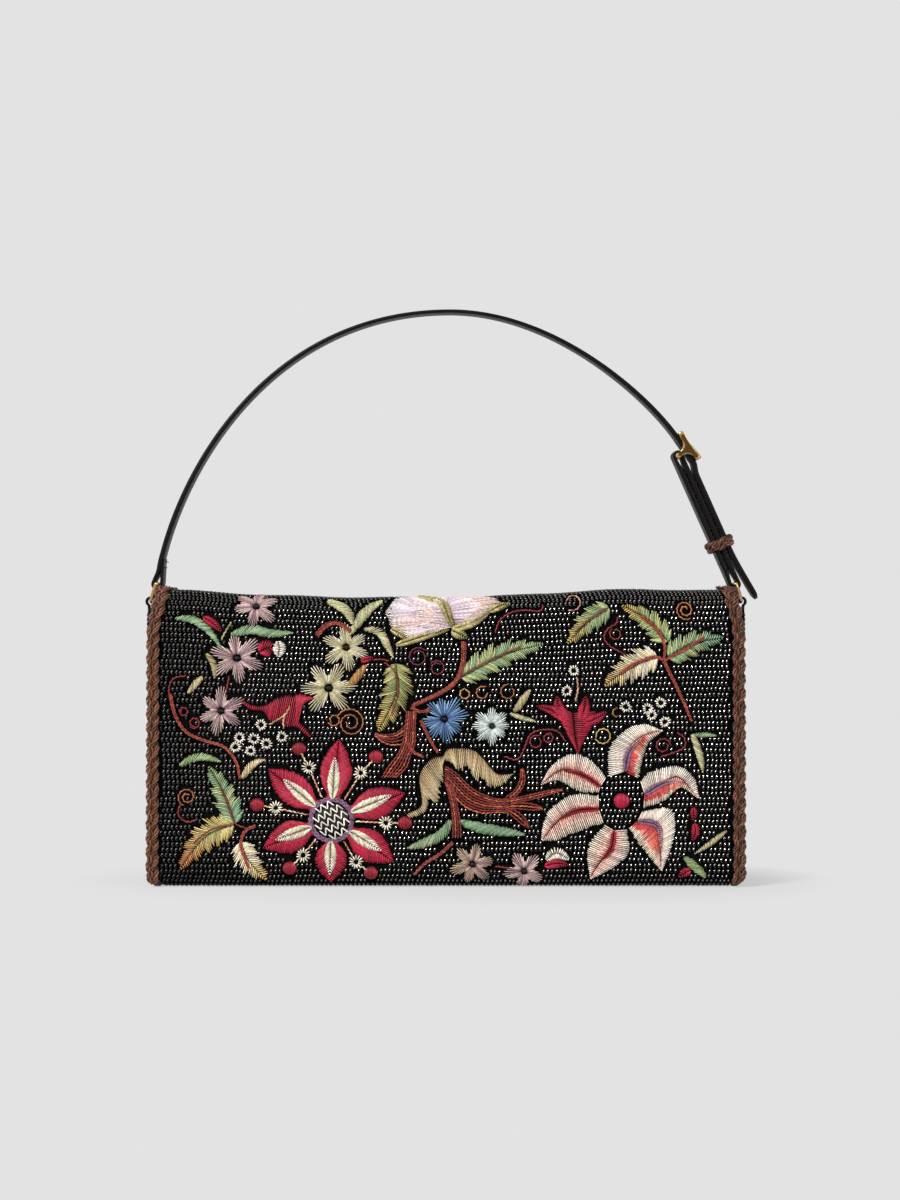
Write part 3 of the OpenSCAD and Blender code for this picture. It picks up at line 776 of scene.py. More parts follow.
def leaf(work, line, half, tones, sharp=0.75, teeth=0, slant=0.55, lift=0.2, full=0.5, base=0.0,
         spacing=SPACING, width=THREAD, pale=0.0):
    """Threads from a vein to an outline, on one side and then the other. At share t of the vein the
    outline's half width is half times sin(pi * t ** full) ** sharp, or base where that is more. The
    thread that lands there leaves the vein earlier, by slant times its reach, and a saw of teeth
    cuts the threads short. tones are the colours at the vein, at the edge and at the tip. pale is
    the share of straw threads."""
    fine, length, t = vein_of(line, spacing / LEAF_CLOSENESS)
    count = len(t)
    for order, side in enumerate((1, -1)):
        wide = np.maximum(np.sin(math.pi * t**full) ** sharp, base * np.clip(1 - 1.4 * t, 0, 1))
        wide = stretch(half) * wide
        land, course = along_line(fine, t)
        foot, _ = along_line(fine, np.clip(t - slant * wide / length, 0, 1))
        cut = rng.uniform(0.94, 1.04, count)
        if teeth:
            saw = (t * teeth * 0.55 + 0.3 * order) % 1.0
            cut = cut * (0.62 + 0.42 * saw) * rng.uniform(0.9, 1.06, count)
        tip = foot + (land + left_of(course) * side * wide[:, None] - foot) * cut[:, None]
        heart, rim, point = (np.asarray(tone) for tone in tones)
        fade = smooth((t - 0.45) / 0.5)[:, None]
        heart = mix(heart, rim, rng.uniform(0, 0.7, (count, 1)))
        straw = 0.6 * (rng.uniform(0, 1, (count, 1)) < pale)
        heart = mix(heart, STRAW, straw)
        rim = mix(rim, STRAW, straw)
        work.lay(foot, tip, width, mix(heart, point, fade * 0.7), mix(rim, point, fade), lift=lift,
                 bow=-side * 0.06 * wide)


def blade(work, line, half, tones):
    """Slanting threads from one edge of a narrow leaf to the other."""
    fine, length, t = vein_of(line, SPACING)
    count = len(t)
    wide = stretch(half) * np.sin(math.pi * t**0.8) ** 0.6 * rng.uniform(0.85, 1.1, count)
    foot, course = along_line(fine, np.clip(t - 0.9 * wide / length, 0, 1))
    tip, ahead = along_line(fine, np.clip(t + 0.9 * wide / length, 0, 1))
    foot = foot - left_of(course) * wide[:, None] * 0.8
    tip = tip + left_of(ahead) * wide[:, None] * 0.8
    pick = rng.uniform(0, 0.8, (count, 1))
    work.lay(foot, tip, THREAD, mix(tones[0], tones[1], pick), mix(tones[1], tones[2], pick), lift=0.25)


def satin(work, root, edge, tones, spacing=SPACING, lift=0.25, ragged=0.05, width=THREAD):
    """Threads from a root line to an edge line, each between the same shares of the two lines."""
    a, b = spline(spot(root), 80), spline(spot(edge), 80)
    count = max(4, int(max(length_of(a), length_of(b)) / spacing))
    a, b = evenly(a, count), evenly(b, count)
    b = a + (b - a) * rng.uniform(1 - ragged, 1 + ragged, (count, 1))
    work.lay(a, b, width, tones[0], tones[1], lift=lift)


def fan(work, centre, radius, first, last, tones, inner, lift, squash):
    """Threads from a small arc to a large one, between two angles. The large arc's rim is slightly
    notched, and both are squashed upright."""
    degrees = np.linspace(first, last, max(5, int(abs(last - first) * radius / 100)))
    turn = np.radians(degrees)
    notch = 1 - 0.05 * np.abs(np.sin(turn * 4))
    arcs = [np.stack([centre[0] + r * np.cos(turn), centre[1] - squash * r * np.sin(turn)], axis=1)
            for r in (radius * inner, radius * notch)]
    satin(work, *arcs, tones, lift=lift, ragged=0.02)


# %% [markdown]
# ## Stems, tendrils and curls
# A stem is worked in short slanting stitches that overlap like the strands of a rope. One row
# makes a tendril and several rows side by side make a branch. A curl is a row of the same
# stitches on a spiral.

# %% The stem stitch
STEM_STEP = 1.1


def stem(work, line, tones, rows=1, width=0.95, gap=0.8, lift=0.0, taper=0.35):
    """Rows of short stitches along a line. Each is 2.2 mm long, starts half way along the one
    before, and crosses the line to the one side and the other by turns. Rows close up towards the
    end by taper."""
    fine = spline(spot(line), 80)
    count = max(3, int(length_of(fine) / STEM_STEP))
    fine = evenly(fine, count + 2)
    normal = left_of(headings(fine))
    for row in range(rows):
        shift = (row - (rows - 1) / 2) * gap * (1 - taper * np.linspace(0, 1, count + 2))
        path = fine + normal * shift[:, None]
        slant = np.where(np.arange(count) % 2 == 0, 0.42, -0.42)[:, None] * width
        start = path[:-2] - normal[:-2] * slant
        end = path[2:] + normal[2:] * slant
        tone = np.asarray(tones[row % len(tones)])
        pale = np.asarray(tones[(row + 1) % len(tones)])
        colour = mix(tone, pale, rng.uniform(0, 1, (count, 1)) ** 1.6)
        work.lay(start, end, width, colour, colour, lift=lift, foot=lift - 0.5)


def spiral(centre, outer, inner, turns, start):
    """Picture points on a spiral whose radius falls evenly from outer to inner, from a start
    angle."""
    t = np.linspace(0, 1, int(10 * abs(turns)) + 4)
    angle = math.radians(start) + t * turns * 2 * math.pi
    radius = mix(outer, inner, t)
    return np.stack([centre[0] + radius * np.cos(angle), centre[1] - radius * np.sin(angle)], axis=1)


def curl(work, centre, outer, inner, turns, start, tones):
    """A single thin row of stem stitch on a spiral."""
    stem(work, spiral(centre, outer, inner, turns, start), tones, width=0.62, taper=0)


# %% [markdown]
# ## Stars, ring knots and dots
# A star's petals are straight threads that fan out from its middle, longest in the middle of
# each petal and palest at its sides. A ring knot is a wreath of short threads round a dark
# hole. A dot is a round patch of threads side by side.

# %% Stars, rings and dots
def star(work, centre, radius, petals, tones, turn, blunt, threads):
    """Petals of straight threads that fan out from the middle. At a place j across a petal, from -1
    to 1, a thread's length is 1 - blunt * abs(j) ** 1.8 of the radius, and the outer threads are
    the palest."""
    j = np.tile(np.linspace(-1, 1, threads), petals)
    petal = np.repeat(np.arange(petals), threads)
    angle = np.radians(turn + (petal + 0.43 * j) * 360 / petals) + rng.normal(0, 0.05, petals)[petal]
    along = np.stack([np.cos(angle), np.sin(angle)], axis=1)
    size = stretch(radius) * rng.uniform(0.9, 1.1, petals)[petal]
    reach = size * (1 - blunt * np.abs(j) ** 1.8) * rng.uniform(0.95, 1.03, j.size)
    middle = spot([centre])
    rim = np.clip(0.45 * np.abs(j) + rng.uniform(-0.25, 0.7, j.size), 0, 1)[:, None]
    work.lay(middle + along * 0.13 * size[:, None], middle + along * reach[:, None], 0.74,
             mix(tones[0], tones[1], rim * 0.3), mix(tones[0], tones[1], 0.3 + rim * 0.7),
             lift=0.3 - 0.2 * np.abs(j))


def ring_knot(work, centre, radius, tone, hole=0.42, threads=13):
    """Short threads from an inner circle to an outer one."""
    angle = np.arange(threads) / threads * 2 * math.pi + rng.uniform(0, 1)
    out = np.stack([np.cos(angle), np.sin(angle)], axis=1)
    middle = spot([centre])
    size = stretch(radius) * rng.uniform(0.82, 1.12, (threads, 1))
    work.lay(middle + out * size * hole, middle + out * size, THREAD, tone, tone, lift=0.35)


def dot(work, centre, radius, tone, threads=9):
    """A filled disc: parallel threads, each as long as the circle's chord where it lies."""
    place = np.linspace(-0.86, 0.86, threads)
    half = np.sqrt(1 - place**2)
    size = stretch(radius)
    middle = spot([centre])
    start = middle + np.stack([place, -half], axis=1) * size
    end = middle + np.stack([place, half], axis=1) * size
    work.lay(start, end, 2.4 * size / threads, tone, tone, lift=0.6)


# %% [markdown]
# ## Thread colours
# The silks are crimson and cream for the large blooms, mauve, olive and blue for the stars,
# and rust and brown with a little orange for everything that grows.

# %% Silks
CRIMSON = hue(172, 26, 56)
DEEP_RED = hue(138, 24, 40)
WINE = hue(120, 28, 42)
CREAM = hue(236, 226, 204)
WHITE = hue(240, 232, 216)
BLUSH = hue(236, 210, 196)
ROSE = hue(226, 162, 148)
SALMON = hue(226, 128, 104)
CORAL = hue(210, 60, 58)
MAUVE = hue(104, 66, 84)
PLUM = hue(92, 52, 70)
LILAC = hue(128, 94, 124)
SAGE = hue(150, 170, 122)
LEAF = hue(108, 138, 84)
TEAL = hue(118, 156, 124)
OLIVE = hue(146, 138, 84)
GOLDEN = hue(196, 164, 92)
STRAW = hue(206, 192, 128)
TAN = hue(160, 130, 88)
SAND = hue(212, 192, 152)
RUST = hue(132, 44, 38)
ORANGE = hue(190, 112, 62)
BRICK = hue(98, 30, 30)
GINGER = hue(196, 116, 66)
BROWN = hue(134, 84, 52)
NAVY = hue(14, 36, 104)
SKY = hue(140, 184, 214)
FROST = hue(206, 216, 208)
INK = hue(22, 18, 20)
COPPER = hue(164, 76, 52)
STALK = [RUST, COPPER, BRICK]
DARK_STALK = [WINE, RUST]

# %% [markdown]
# ## The crimson bloom
# Six pointed crimson petals stand round a disc. Each holds a cream leaf in its lower half.
# Between the petals, thin stalks carry a cream ring knot and a crimson dot. The disc is black
# with white zigzag lines, inside a mauve ring.

# %% Crimson bloom
BLOOM_MIDDLE = (331.5, 820)
BLOOM_DISC = 20
PETAL_TIPS = [(339, 739), (405, 793), (394, 862), (331, 882), (263, 848), (268, 769)]
HEART_TIPS = [(335, 757), (392, 795), (382, 851), (330, 875), (275, 840), (283, 779)]
STALK_KNOTS = [(309, 768), (361, 773), (386, 823), (356, 862), (303, 855), (276, 808)]
STALK_DOTS = [(299, 749), (376, 757), (405, 823), (371, 873), (290, 868), (257, 805)]


def from_middle(middle, tip, radius):
    """The picture point on the way from the middle to the tip, at a radius from the middle."""
    step = np.subtract(tip, middle)
    return tuple(np.array(middle) + step / np.linalg.norm(step) * radius)


def crimson_bloom():
    """Petals and hearts are leaves from the disc outwards, and the stalks stand between them."""
    petals = Work("stitched_crimson_bloom")
    hearts = Work("stitched_bloom_hearts")
    for tip, heart in zip(PETAL_TIPS, HEART_TIPS):
        root = from_middle(BLOOM_MIDDLE, tip, BLOOM_DISC)
        leaf(petals, [root, tip], 16.5, [CRIMSON, CRIMSON * 0.85, CRIMSON], full=0.92, sharp=0.9,
             slant=0.9, base=0.5, spacing=0.8, width=0.84)
        root = from_middle(BLOOM_MIDDLE, heart, BLOOM_DISC + 1)
        leaf(hearts, [root, heart], 7.2, [SAND * 0.7, CREAM, WHITE], full=0.9, slant=1.3, lift=0.95)
    for knot, bud in zip(STALK_KNOTS, STALK_DOTS):
        root = from_middle(BLOOM_MIDDLE, knot, BLOOM_DISC + 4)
        stem(hearts, [root, from_middle(knot, root, 6)], [ORANGE, CREAM], width=0.7)
        stem(hearts, [from_middle(knot, bud, 6), from_middle(bud, knot, 4)], [GOLDEN, CREAM], width=0.8)
        ring_knot(hearts, knot, 7.5, CREAM, hole=0.3)
        dot(petals, bud, 7, DEEP_RED)
    for k in range(3):
        radius = BLOOM_DISC + 2.2 - 1.5 * k
        ring = spiral(BLOOM_MIDDLE, radius, radius, 1, 0)
        stem(hearts, ring, [LILAC, MAUVE], width=0.85, lift=0.5, taper=0)
    dot(hearts, BLOOM_MIDDLE, BLOOM_DISC - 2, INK, threads=24)
    zigzag(hearts)
    print("crimson bloom:", petals.make() + hearts.make(), "stitches")


def zigzag(work):
    """Four slanting saw lines across the disc: each corner steps along its row and then to either
    side."""
    for row in range(-2, 3):
        chord = math.sqrt(max(0.0, 1 - (row / 2.4) ** 2)) * (BLOOM_DISC - 3)
        steps = max(3, int(chord / 2.9))
        along = np.linspace(-chord, chord, 2 * steps)
        beside = row * 7.6 + np.where(np.arange(2 * steps) % 2 == 0, -3.7, 3.7)
        turned = math.radians(-28)
        x = BLOOM_MIDDLE[0] + along * math.cos(turned) - beside * math.sin(turned)
        y = BLOOM_MIDDLE[1] + along * math.sin(turned) + beside * math.cos(turned)
        line = spot(np.stack([x, y], axis=1))
        work.lay(line[:-1], line[1:], 0.75, WHITE, WHITE, lift=0.95, foot=0.7)


crimson_bloom()

# %% [markdown]
# ## The lily
# Six curved petals of cream satin stand round an oval of bare beads with a crimson dot. On
# the left their veins are dark red bands. On the right the inner side of each petal runs from
# crimson to salmon, with a lilac band over the vein.

# %% Lily
LILY_MIDDLE = (621.5, 801)
LILY_LEFT = [
    ([(600, 786), (580, 774), (562, 770), (541, 784)],
     [(606, 777), (590, 759), (571, 754), (552, 765), (541, 784)],
     [(598, 793), (578, 791), (558, 781), (542, 785)]),
    ([(598, 809), (575, 811), (557, 822), (543, 839)],
     [(598, 795), (574, 794), (552, 807), (543, 824), (541, 839)],
     [(603, 823), (578, 832), (558, 840), (543, 841)]),
    ([(614, 831), (611, 848), (600, 862), (590, 877)],
     [(627, 830), (629, 852), (613, 868), (592, 879)],
     [(604, 825), (590, 842), (587, 858), (590, 877)])]
LILY_RIGHT = [
    ([(625, 771), (628, 755), (640, 738), (661, 730)],
     [(608, 776), (609, 749), (625, 730), (645, 724), (663, 731)],
     [(639, 778), (643, 760), (649, 743), (662, 732)]),
    ([(645, 794), (660, 786), (678, 777), (697, 797)],
     [(641, 781), (651, 771), (677, 766), (694, 777), (700, 798)],
     [(644, 808), (664, 801), (680, 788), (697, 798)]),
    ([(638, 821), (656, 823), (660, 845), (661, 868)],
     [(643, 811), (670, 808), (676, 826), (670, 852), (662, 871)],
     [(629, 829), (638, 843), (650, 858), (660, 870)])]


def lily():
    """Each petal is satin on both sides of its vein, with shorter satin over it near the middle."""
    petals = Work("stitched_lily")
    bands = Work("stitched_lily_bands")
    for vein, upper, lower in LILY_LEFT:
        satin(petals, vein, upper, [ROSE, WHITE])
        satin(petals, vein, lower, [ROSE, CREAM])
        inner = spline(vein, 24)[:15]
        below, above = (mix(inner, spline(edge, 24)[:15], 0.5) for edge in (lower, upper))
        satin(petals, inner[::7], below[::7], [SALMON, BLUSH], lift=0.7, ragged=0.3)
        satin(petals, inner[:8], above[:8], [SALMON, BLUSH], lift=0.7, ragged=0.3)
        leaf(bands, inner[::7], 4.2, [DEEP_RED, DEEP_RED, DEEP_RED], full=0.6, slant=1.0, lift=0.9)
    for vein, upper, lower in LILY_RIGHT:
        satin(petals, vein, upper, [BLUSH, WHITE])
        satin(petals, vein, lower, [ROSE, CREAM])
        inner = spline(vein, 24)[:17]
        reach = mix(inner, spline(lower, 24)[:17], 0.72)
        satin(petals, inner[::8], reach[::8], [CORAL, SALMON], lift=0.6, ragged=0.22)
        satin(petals, inner[:9:4], reach[:9:4], [CRIMSON, CORAL], lift=0.8, ragged=0.22)
        leaf(bands, inner[::8], 3.8, [LILAC, LILAC, ROSE], full=0.6, slant=1.0, lift=0.95)
    dot(bands, LILY_MIDDLE, 8, CRIMSON, threads=12)
    print("lily:", petals.make() + bands.make(), "stitches")


lily()

# %% [markdown]
# ## The pale bloom at the top
# Broad blush petals lie over the rolled edge, held by a yellow-green band and sepals.

# %% Pale bloom
PALE_ROSE = hue(214, 182, 184)
PALE_LILAC = hue(190, 168, 182)
PETAL_WHITE = hue(238, 226, 226)
PALE_FANS = [((424, 613), 40, 108, 216, 0), ((430, 622), 42, 158, 206, 1), ((436, 628), 40, 176, 214, 0),
             ((436, 608), 30, 96, 188, 2), ((440, 618), 26, 120, 214, 1), ((446, 626), 30, 168, 222, 2),
             ((446, 606), 22, 84, 180, 0)]
PALE_SPREAD = [([(450, 600), (453, 612), (455, 626)], [(422, 598), (412, 612), (420, 632)], 2),
               ([(444, 596), (449, 610), (455, 628)], [(478, 587), (499, 598), (496, 607), (482, 622)], 1),
               ([(444, 598), (448, 607), (452, 618)], [(462, 590), (480, 598), (484, 606), (472, 618)], 0)]
PALE_TONES = [[PALE_LILAC, PETAL_WHITE], [PALE_ROSE, BLUSH], [PALE_ROSE, PETAL_WHITE]]
SEPALS = [([(396, 645), (424, 636), (450, 629)], 4.5), ([(452, 629), (472, 623), (492, 610)], 4.5),
          ([(490, 611), (500, 606), (511, 604)], 4.5),
          ([(418, 597), (441, 602), (449, 618), (455, 630)], 6),
          ([(391, 629), (399, 633), (408, 640)], 4), ([(452, 630), (460, 634), (468, 638)], 6)]


def pale_bloom():
    """Fans on the left, then spread petals on the right, then the sepals over both."""
    work = Work("stitched_pale_bloom")
    for order, (centre, radius, first, last, tone) in enumerate(PALE_FANS):
        fan(work, centre, radius, first, last, PALE_TONES[tone], inner=0.12,
            lift=0.1 + 0.07 * order, squash=0.62)
    for order, (root, edge, tone) in enumerate(PALE_SPREAD):
        satin(work, root, edge, PALE_TONES[tone], lift=0.3 * order)
    for line, half in SEPALS:
        leaf(work, line, half, [OLIVE, STRAW, OLIVE], full=0.7, sharp=0.6, slant=0.9, lift=1.0)
    print("pale bloom:", work.make(), "stitches")


pale_bloom()

# %% [markdown]
# ## Leaves
# Serrated leaves have teeth and change from green to gold towards their edges, with pale
# straw threads strewn among them. Plain leaves are long and narrow. Two broad sand-coloured
# limbs are worked across.

# %% Serrated and plain leaves
GREEN_GOLD = [LEAF, SAGE, GOLDEN]
TEAL_SET = [TEAL, SAGE, TEAL]
CREAM_SET = [SAND, CREAM, GOLDEN]
SERRATED = [
    ([(609, 608), (590, 620), (567, 644)], 15, GREEN_GOLD, 8),
    ([(668, 641), (650, 621), (622, 605)], 14, GREEN_GOLD, 9),
    ([(669, 657), (692, 644), (724, 638)], 16, TEAL_SET, 9),
    ([(657, 656), (632, 667), (604, 686)], 17, CREAM_SET, 9),
    ([(461, 677), (500, 656), (544, 644)], 17, [TEAL, SAGE, SAGE], 11),
    ([(396, 664), (397, 692), (378, 732)], 18, [LEAF, OLIVE, GOLDEN], 9),
    ([(235, 823), (222, 790), (208, 766)], 15, [TEAL, TEAL, SAGE], 8),
    ([(233, 824), (205, 837), (180, 869)], 17, [SAGE, GOLDEN, ORANGE], 9),
    ([(240, 843), (249, 861), (267, 880)], 15, CREAM_SET, 8)]
PLAIN = [
    ([(173, 618), (190, 619), (206, 629), (221, 648)], 5.5, TEAL_SET),
    ([(230, 634), (250, 629), (271, 634), (293, 633)], 7, TEAL_SET),
    ([(207, 653), (213, 664), (214, 679)], 4.5, [OLIVE, OLIVE, SAND]),
    ([(203, 678), (195, 684), (187, 693)], 5, [OLIVE, SAND, SAND]),
    ([(179, 765), (198, 757), (221, 762)], 5.5, [LEAF, SAGE, SAGE]),
    ([(241, 778), (251, 766), (265, 760)], 5, [OLIVE, SAND, SAND]),
    ([(328, 599), (344, 608), (352, 624)], 8, [SAGE, SAND, SAGE]),
    ([(383, 600), (367, 610), (357, 622), (350, 634)], 7.5, [SAGE, SAND, SAGE]),
    ([(364, 628), (379, 631), (386, 644), (393, 658)], 5.5, [SAGE, SAND, SAND]),
    ([(346, 686), (357, 677), (367, 665)], 6.5, [GOLDEN, RUST, GOLDEN]),
    ([(459, 820), (486, 829), (525, 835)], 7.5, [LEAF, TEAL, SAGE]),
    ([(452, 821), (440, 836), (407, 848)], 7.5, [LEAF, TEAL, SAND]),
    ([(513, 711), (522, 702), (531, 690)], 5.5, [OLIVE, SAND, OLIVE]),
    ([(510, 713), (522, 718), (536, 722)], 3.5, [SAGE, SAND, SAGE]),
    ([(693, 734), (699, 752), (703, 773)], 5, [SAGE, SAND, SAGE]),
    ([(692, 735), (704, 735), (717, 736)], 3.5, [SAGE, SAGE, LEAF]),
    ([(727, 831), (711, 843), (694, 854)], 3.6, [OLIVE, SAND, LEAF]),
    ([(686, 856), (695, 867), (705, 878)], 6.5, [LEAF, SAGE, OLIVE])]
LIMBS = [
    ([(445, 756), (433, 758), (423, 767), (419, 778), (421, 793), (421, 806), (407, 814)],
     [(442, 766), (443, 778), (440, 789), (438, 804), (430, 799), (425, 812), (411, 818)]),
    ([(443, 757), (448, 749), (461, 748), (474, 750), (483, 758), (490, 767), (498, 774), (512, 774)],
     [(443, 760), (452, 763), (459, 771), (468, 767), (474, 779), (483, 780), (490, 787), (503, 785),
      (512, 775)])]


def leaves():
    """Serrated leaves, plain leaves and the two limbs."""
    work = Work("stitched_leaves")
    for line, half, tones, teeth in SERRATED:
        leaf(work, line, half, tones, teeth=teeth, full=0.62, sharp=0.6, slant=0.75, pale=0.35)
    for line, half, tones in PLAIN:
        blade(work, line, half, tones)
    for outer, inner in LIMBS:
        satin(work, outer, inner, [TAN, SAND], lift=0.35, ragged=0.1, width=0.72)
    print("leaves:", work.make(), "stitches")


leaves()

# %% [markdown]
# ## Small flowers and buds
# Stars in mauve, olive and blue are scattered over the left and the middle. The crimson buds
# are small leaf shapes, and the tulips are satin between a foot line and a rim.

# %% Stars, tulips and buds
STARS = [
    ((255, 606), 25, 6, [MAUVE, BLUSH], 80), ((236.5, 658), 27, 6, [MAUVE, BLUSH], 100),
    ((220.5, 711), 25, 6, [MAUVE, BLUSH], 85), ((346, 647), 26, 6, [OLIVE, CREAM], 95),
    ((328.5, 688), 29, 6, [OLIVE, CREAM], 62), ((444, 719), 25, 8, [NAVY, SKY], 100),
    ((492, 726), 19.5, 8, [FROST * 0.7, FROST], 90), ((472.5, 864), 23, 6, [MAUVE, SAND], 75),
    ((524, 871), 21, 5, [MAUVE, BLUSH], 118)]
RED_SET = [CRIMSON, CRIMSON, DEEP_RED]
RED_LEAVES = [
    ([(567, 722), (553, 711), (536, 706)], 5),
    ([(566, 720), (559, 708), (557, 696)], 6), ([(581, 720), (585, 707), (586, 696)], 6),
    ([(583, 724), (596, 719), (607, 712)], 5.5),
    ([(259, 652), (267, 648), (276, 647)], 9), ([(202, 617), (213, 624), (221, 632)], 4.5),
    ([(545, 866), (557, 863), (569, 865)], 5), ([(693, 808), (694, 813), (693, 821)], 4),
    ([(694, 824), (696, 831), (692, 841)], 4.5), ([(690, 870), (684, 873), (678, 877)], 4.5),
    ([(361, 661), (367, 659), (374, 658)], 3.5)]
CUP_SPINE = [(578, 753), (575, 734), (573, 714)]
CUP_LEFT = [(577, 752), (563, 726), (556, 706)]
CUP_RIGHT = [(579, 752), (592, 727), (597, 712)]
TULIP_TOP = [(241, 701), (255.5, 706), (263, 705.7), (271, 701.5), (279.6, 696.8), (288, 694.7),
             (296, 694), (304, 695)]
TULIP_FOOT = [(242, 703), (250, 710), (262, 711.5), (267, 717), (270, 722.5), (279, 723), (287, 728),
              (297, 726)]
TULIP_CREST = [[(296, 694), (304, 695), (308, 696), (314, 697.5)],
               [(297, 726), (300, 713), (304, 704), (314, 698.5)]]
TULIP_WING = [[(296, 718), (301, 724), (306, 729), (311, 735.5)],
              [(292, 725), (297, 728), (302, 732), (308.5, 737)]]
PALE_BUDS = [([(278, 641), (279, 649), (278, 657)], 7), ([(546, 860), (556, 853), (569, 859)], 6)]
RINGS = [(260.7, 725), (253.8, 739), (239, 738), (235, 747), (250.5, 751), (266, 744), (281.6, 737),
         (574, 671), (567, 691), (626, 707), (648, 709), (661, 703), (665, 722), (652, 715)]
STALKS = [([(290, 706), (285, 715), (277, 720), (269, 725)], [TAN, SAND]),
          ([(285, 715), (283, 722), (284, 729)], [TAN, SAND]),
          ([(577, 677), (578, 690), (575, 702)], [TAN, ROSE]),
          ([(231, 622), (226, 630), (221, 640)], [OLIVE, SAND])]


def small_flowers():
    """Stars with dark middles, then the tulips, buds, ring knots and stalks."""
    work = Work("stitched_small_flowers")
    for centre, radius, petals, tones, turn in STARS:
        blunt, threads = (0.25, 6) if petals == 8 else (0.5, 9)
        star(work, centre, radius, petals, tones, turn, blunt, threads)
        dot(work, centre, 2.6, INK, threads=4)
    for line, half in RED_LEAVES:
        leaf(work, line, half, RED_SET, full=0.8, sharp=0.6, slant=0.9, lift=0.35)
    satin(work, TULIP_FOOT, TULIP_TOP, [CRIMSON, DEEP_RED], lift=0.35)
    satin(work, *TULIP_CREST, [CRIMSON, DEEP_RED], lift=0.4)
    satin(work, CUP_SPINE, CUP_LEFT, [DEEP_RED, CRIMSON], lift=0.35)
    satin(work, CUP_SPINE, CUP_RIGHT, [DEEP_RED, CRIMSON], lift=0.35)
    satin(work, *TULIP_WING, [DEEP_RED, CRIMSON], lift=0.4)
    for line, half in PALE_BUDS:
        leaf(work, line, half, [CREAM, WHITE, WHITE], full=0.9, sharp=0.55, slant=0.1, lift=0.6)
    for centre in RINGS:
        ring_knot(work, centre, 6.0, WHITE)
    for line, tones in STALKS:
        stem(work, line, tones, width=0.8, lift=0.8)
    print("small flowers:", work.make(), "stitches")


small_flowers()

# %% [markdown]
# ## Branches and tendrils
# Branches are several rows of stem stitch, with a ginger row here and there in the thick
# ones. They fork by rows that leave together and part. Tendrils end in spirals.

# %% Branches
TRUNKS = [
    ([(407, 711), (405, 729), (403, 743), (397, 756), (389, 766), (382, 778)],
     [(416, 711), (415, 730), (415, 743), (410, 757), (406, 768), (395, 778)], 6),
    ([(374, 733), (384, 735), (397, 733), (406, 725)], [(375, 735), (381, 741), (391, 745), (403, 744)], 5),
    ([(445, 766), (457, 774), (470, 787), (483, 794.5), (496, 799), (510, 799)],
     [(445, 782), (452, 793), (466, 807), (483, 813), (496, 812), (510, 813)], 8),
    ([(510, 799), (527, 795.6), (547, 791), (563, 789)],
     [(510, 803), (528, 800), (547, 795), (563, 790)], 3),
    ([(510, 804), (522, 803), (533, 804), (543, 808)], [(510, 808), (522, 809), (533, 810), (543, 809)], 3),
    ([(508, 808), (518, 812), (525, 819), (529, 827)], [(508, 812), (515, 818), (522, 824), (530, 828)], 3),
    ([(505, 798), (515, 790), (520, 780), (521, 769)], [(513, 798), (521, 790), (525, 780), (523, 768)], 3),
    ([(446, 784), (451, 804), (453, 822), (453, 838)], [(452, 784), (457, 804), (460, 822), (461, 838)], 4)]
BRANCHES = [
    ([(464, 641), (463, 663), (456, 681), (440, 693), (412, 706)], 3),
    ([(461, 676), (480, 666), (500, 656), (521, 646)], 1),
    ([(408, 742), (412, 751), (424, 757)], 2), ([(181, 803), (178, 814), (187, 822), (198, 819)], 1),
    ([(411, 707), (420, 712), (431, 709)], 2), ([(421, 720), (429, 738), (438, 753)], 2),
    ([(384, 662), (395, 672), (398, 692), (391, 716)], 1),
    ([(608, 609), (592, 618), (575, 632)], 1), ([(641, 616), (657, 630), (665, 645), (664, 661)], 2),
    ([(705, 637), (684, 650), (664, 661)], 2), ([(620, 674), (636, 663), (656, 657), (664, 661)], 2),
    ([(664, 661), (675, 683), (685, 705), (692, 722)], 2),
    ([(170, 694), (175, 715), (186, 732), (205, 741), (224, 747), (236, 762), (240, 779)], 2),
    ([(221, 788), (229, 806), (235, 823), (246, 828)], 1), ([(193, 843), (212, 829), (234, 824)], 1),
    ([(256, 826), (246, 830), (241, 842), (244, 856), (250, 869)], 2),
    ([(453, 842), (441, 853), (424, 864), (414, 875)], 2), ([(229, 676), (225, 697)], 1),
    ([(316, 636), (326, 625), (339, 623), (351, 632)], 3)]
TENDRILS = [
    [(186, 676), (174, 678), (169, 686), (169, 699)], [(373, 660), (381, 659), (389, 661)],
    [(495, 633), (500, 620), (512, 612), (526, 610), (541, 611), (543, 604)],
    [(504, 756), (517, 760), (524, 749), (530, 735), (541, 730), (557, 731), (566, 742)],
    [(626, 655), (610, 646), (604, 637), (609, 628), (618, 623), (617, 617)],
    [(660, 757), (673, 753), (685, 747), (684, 737), (677, 733)], [(495, 866), (510, 868)]]
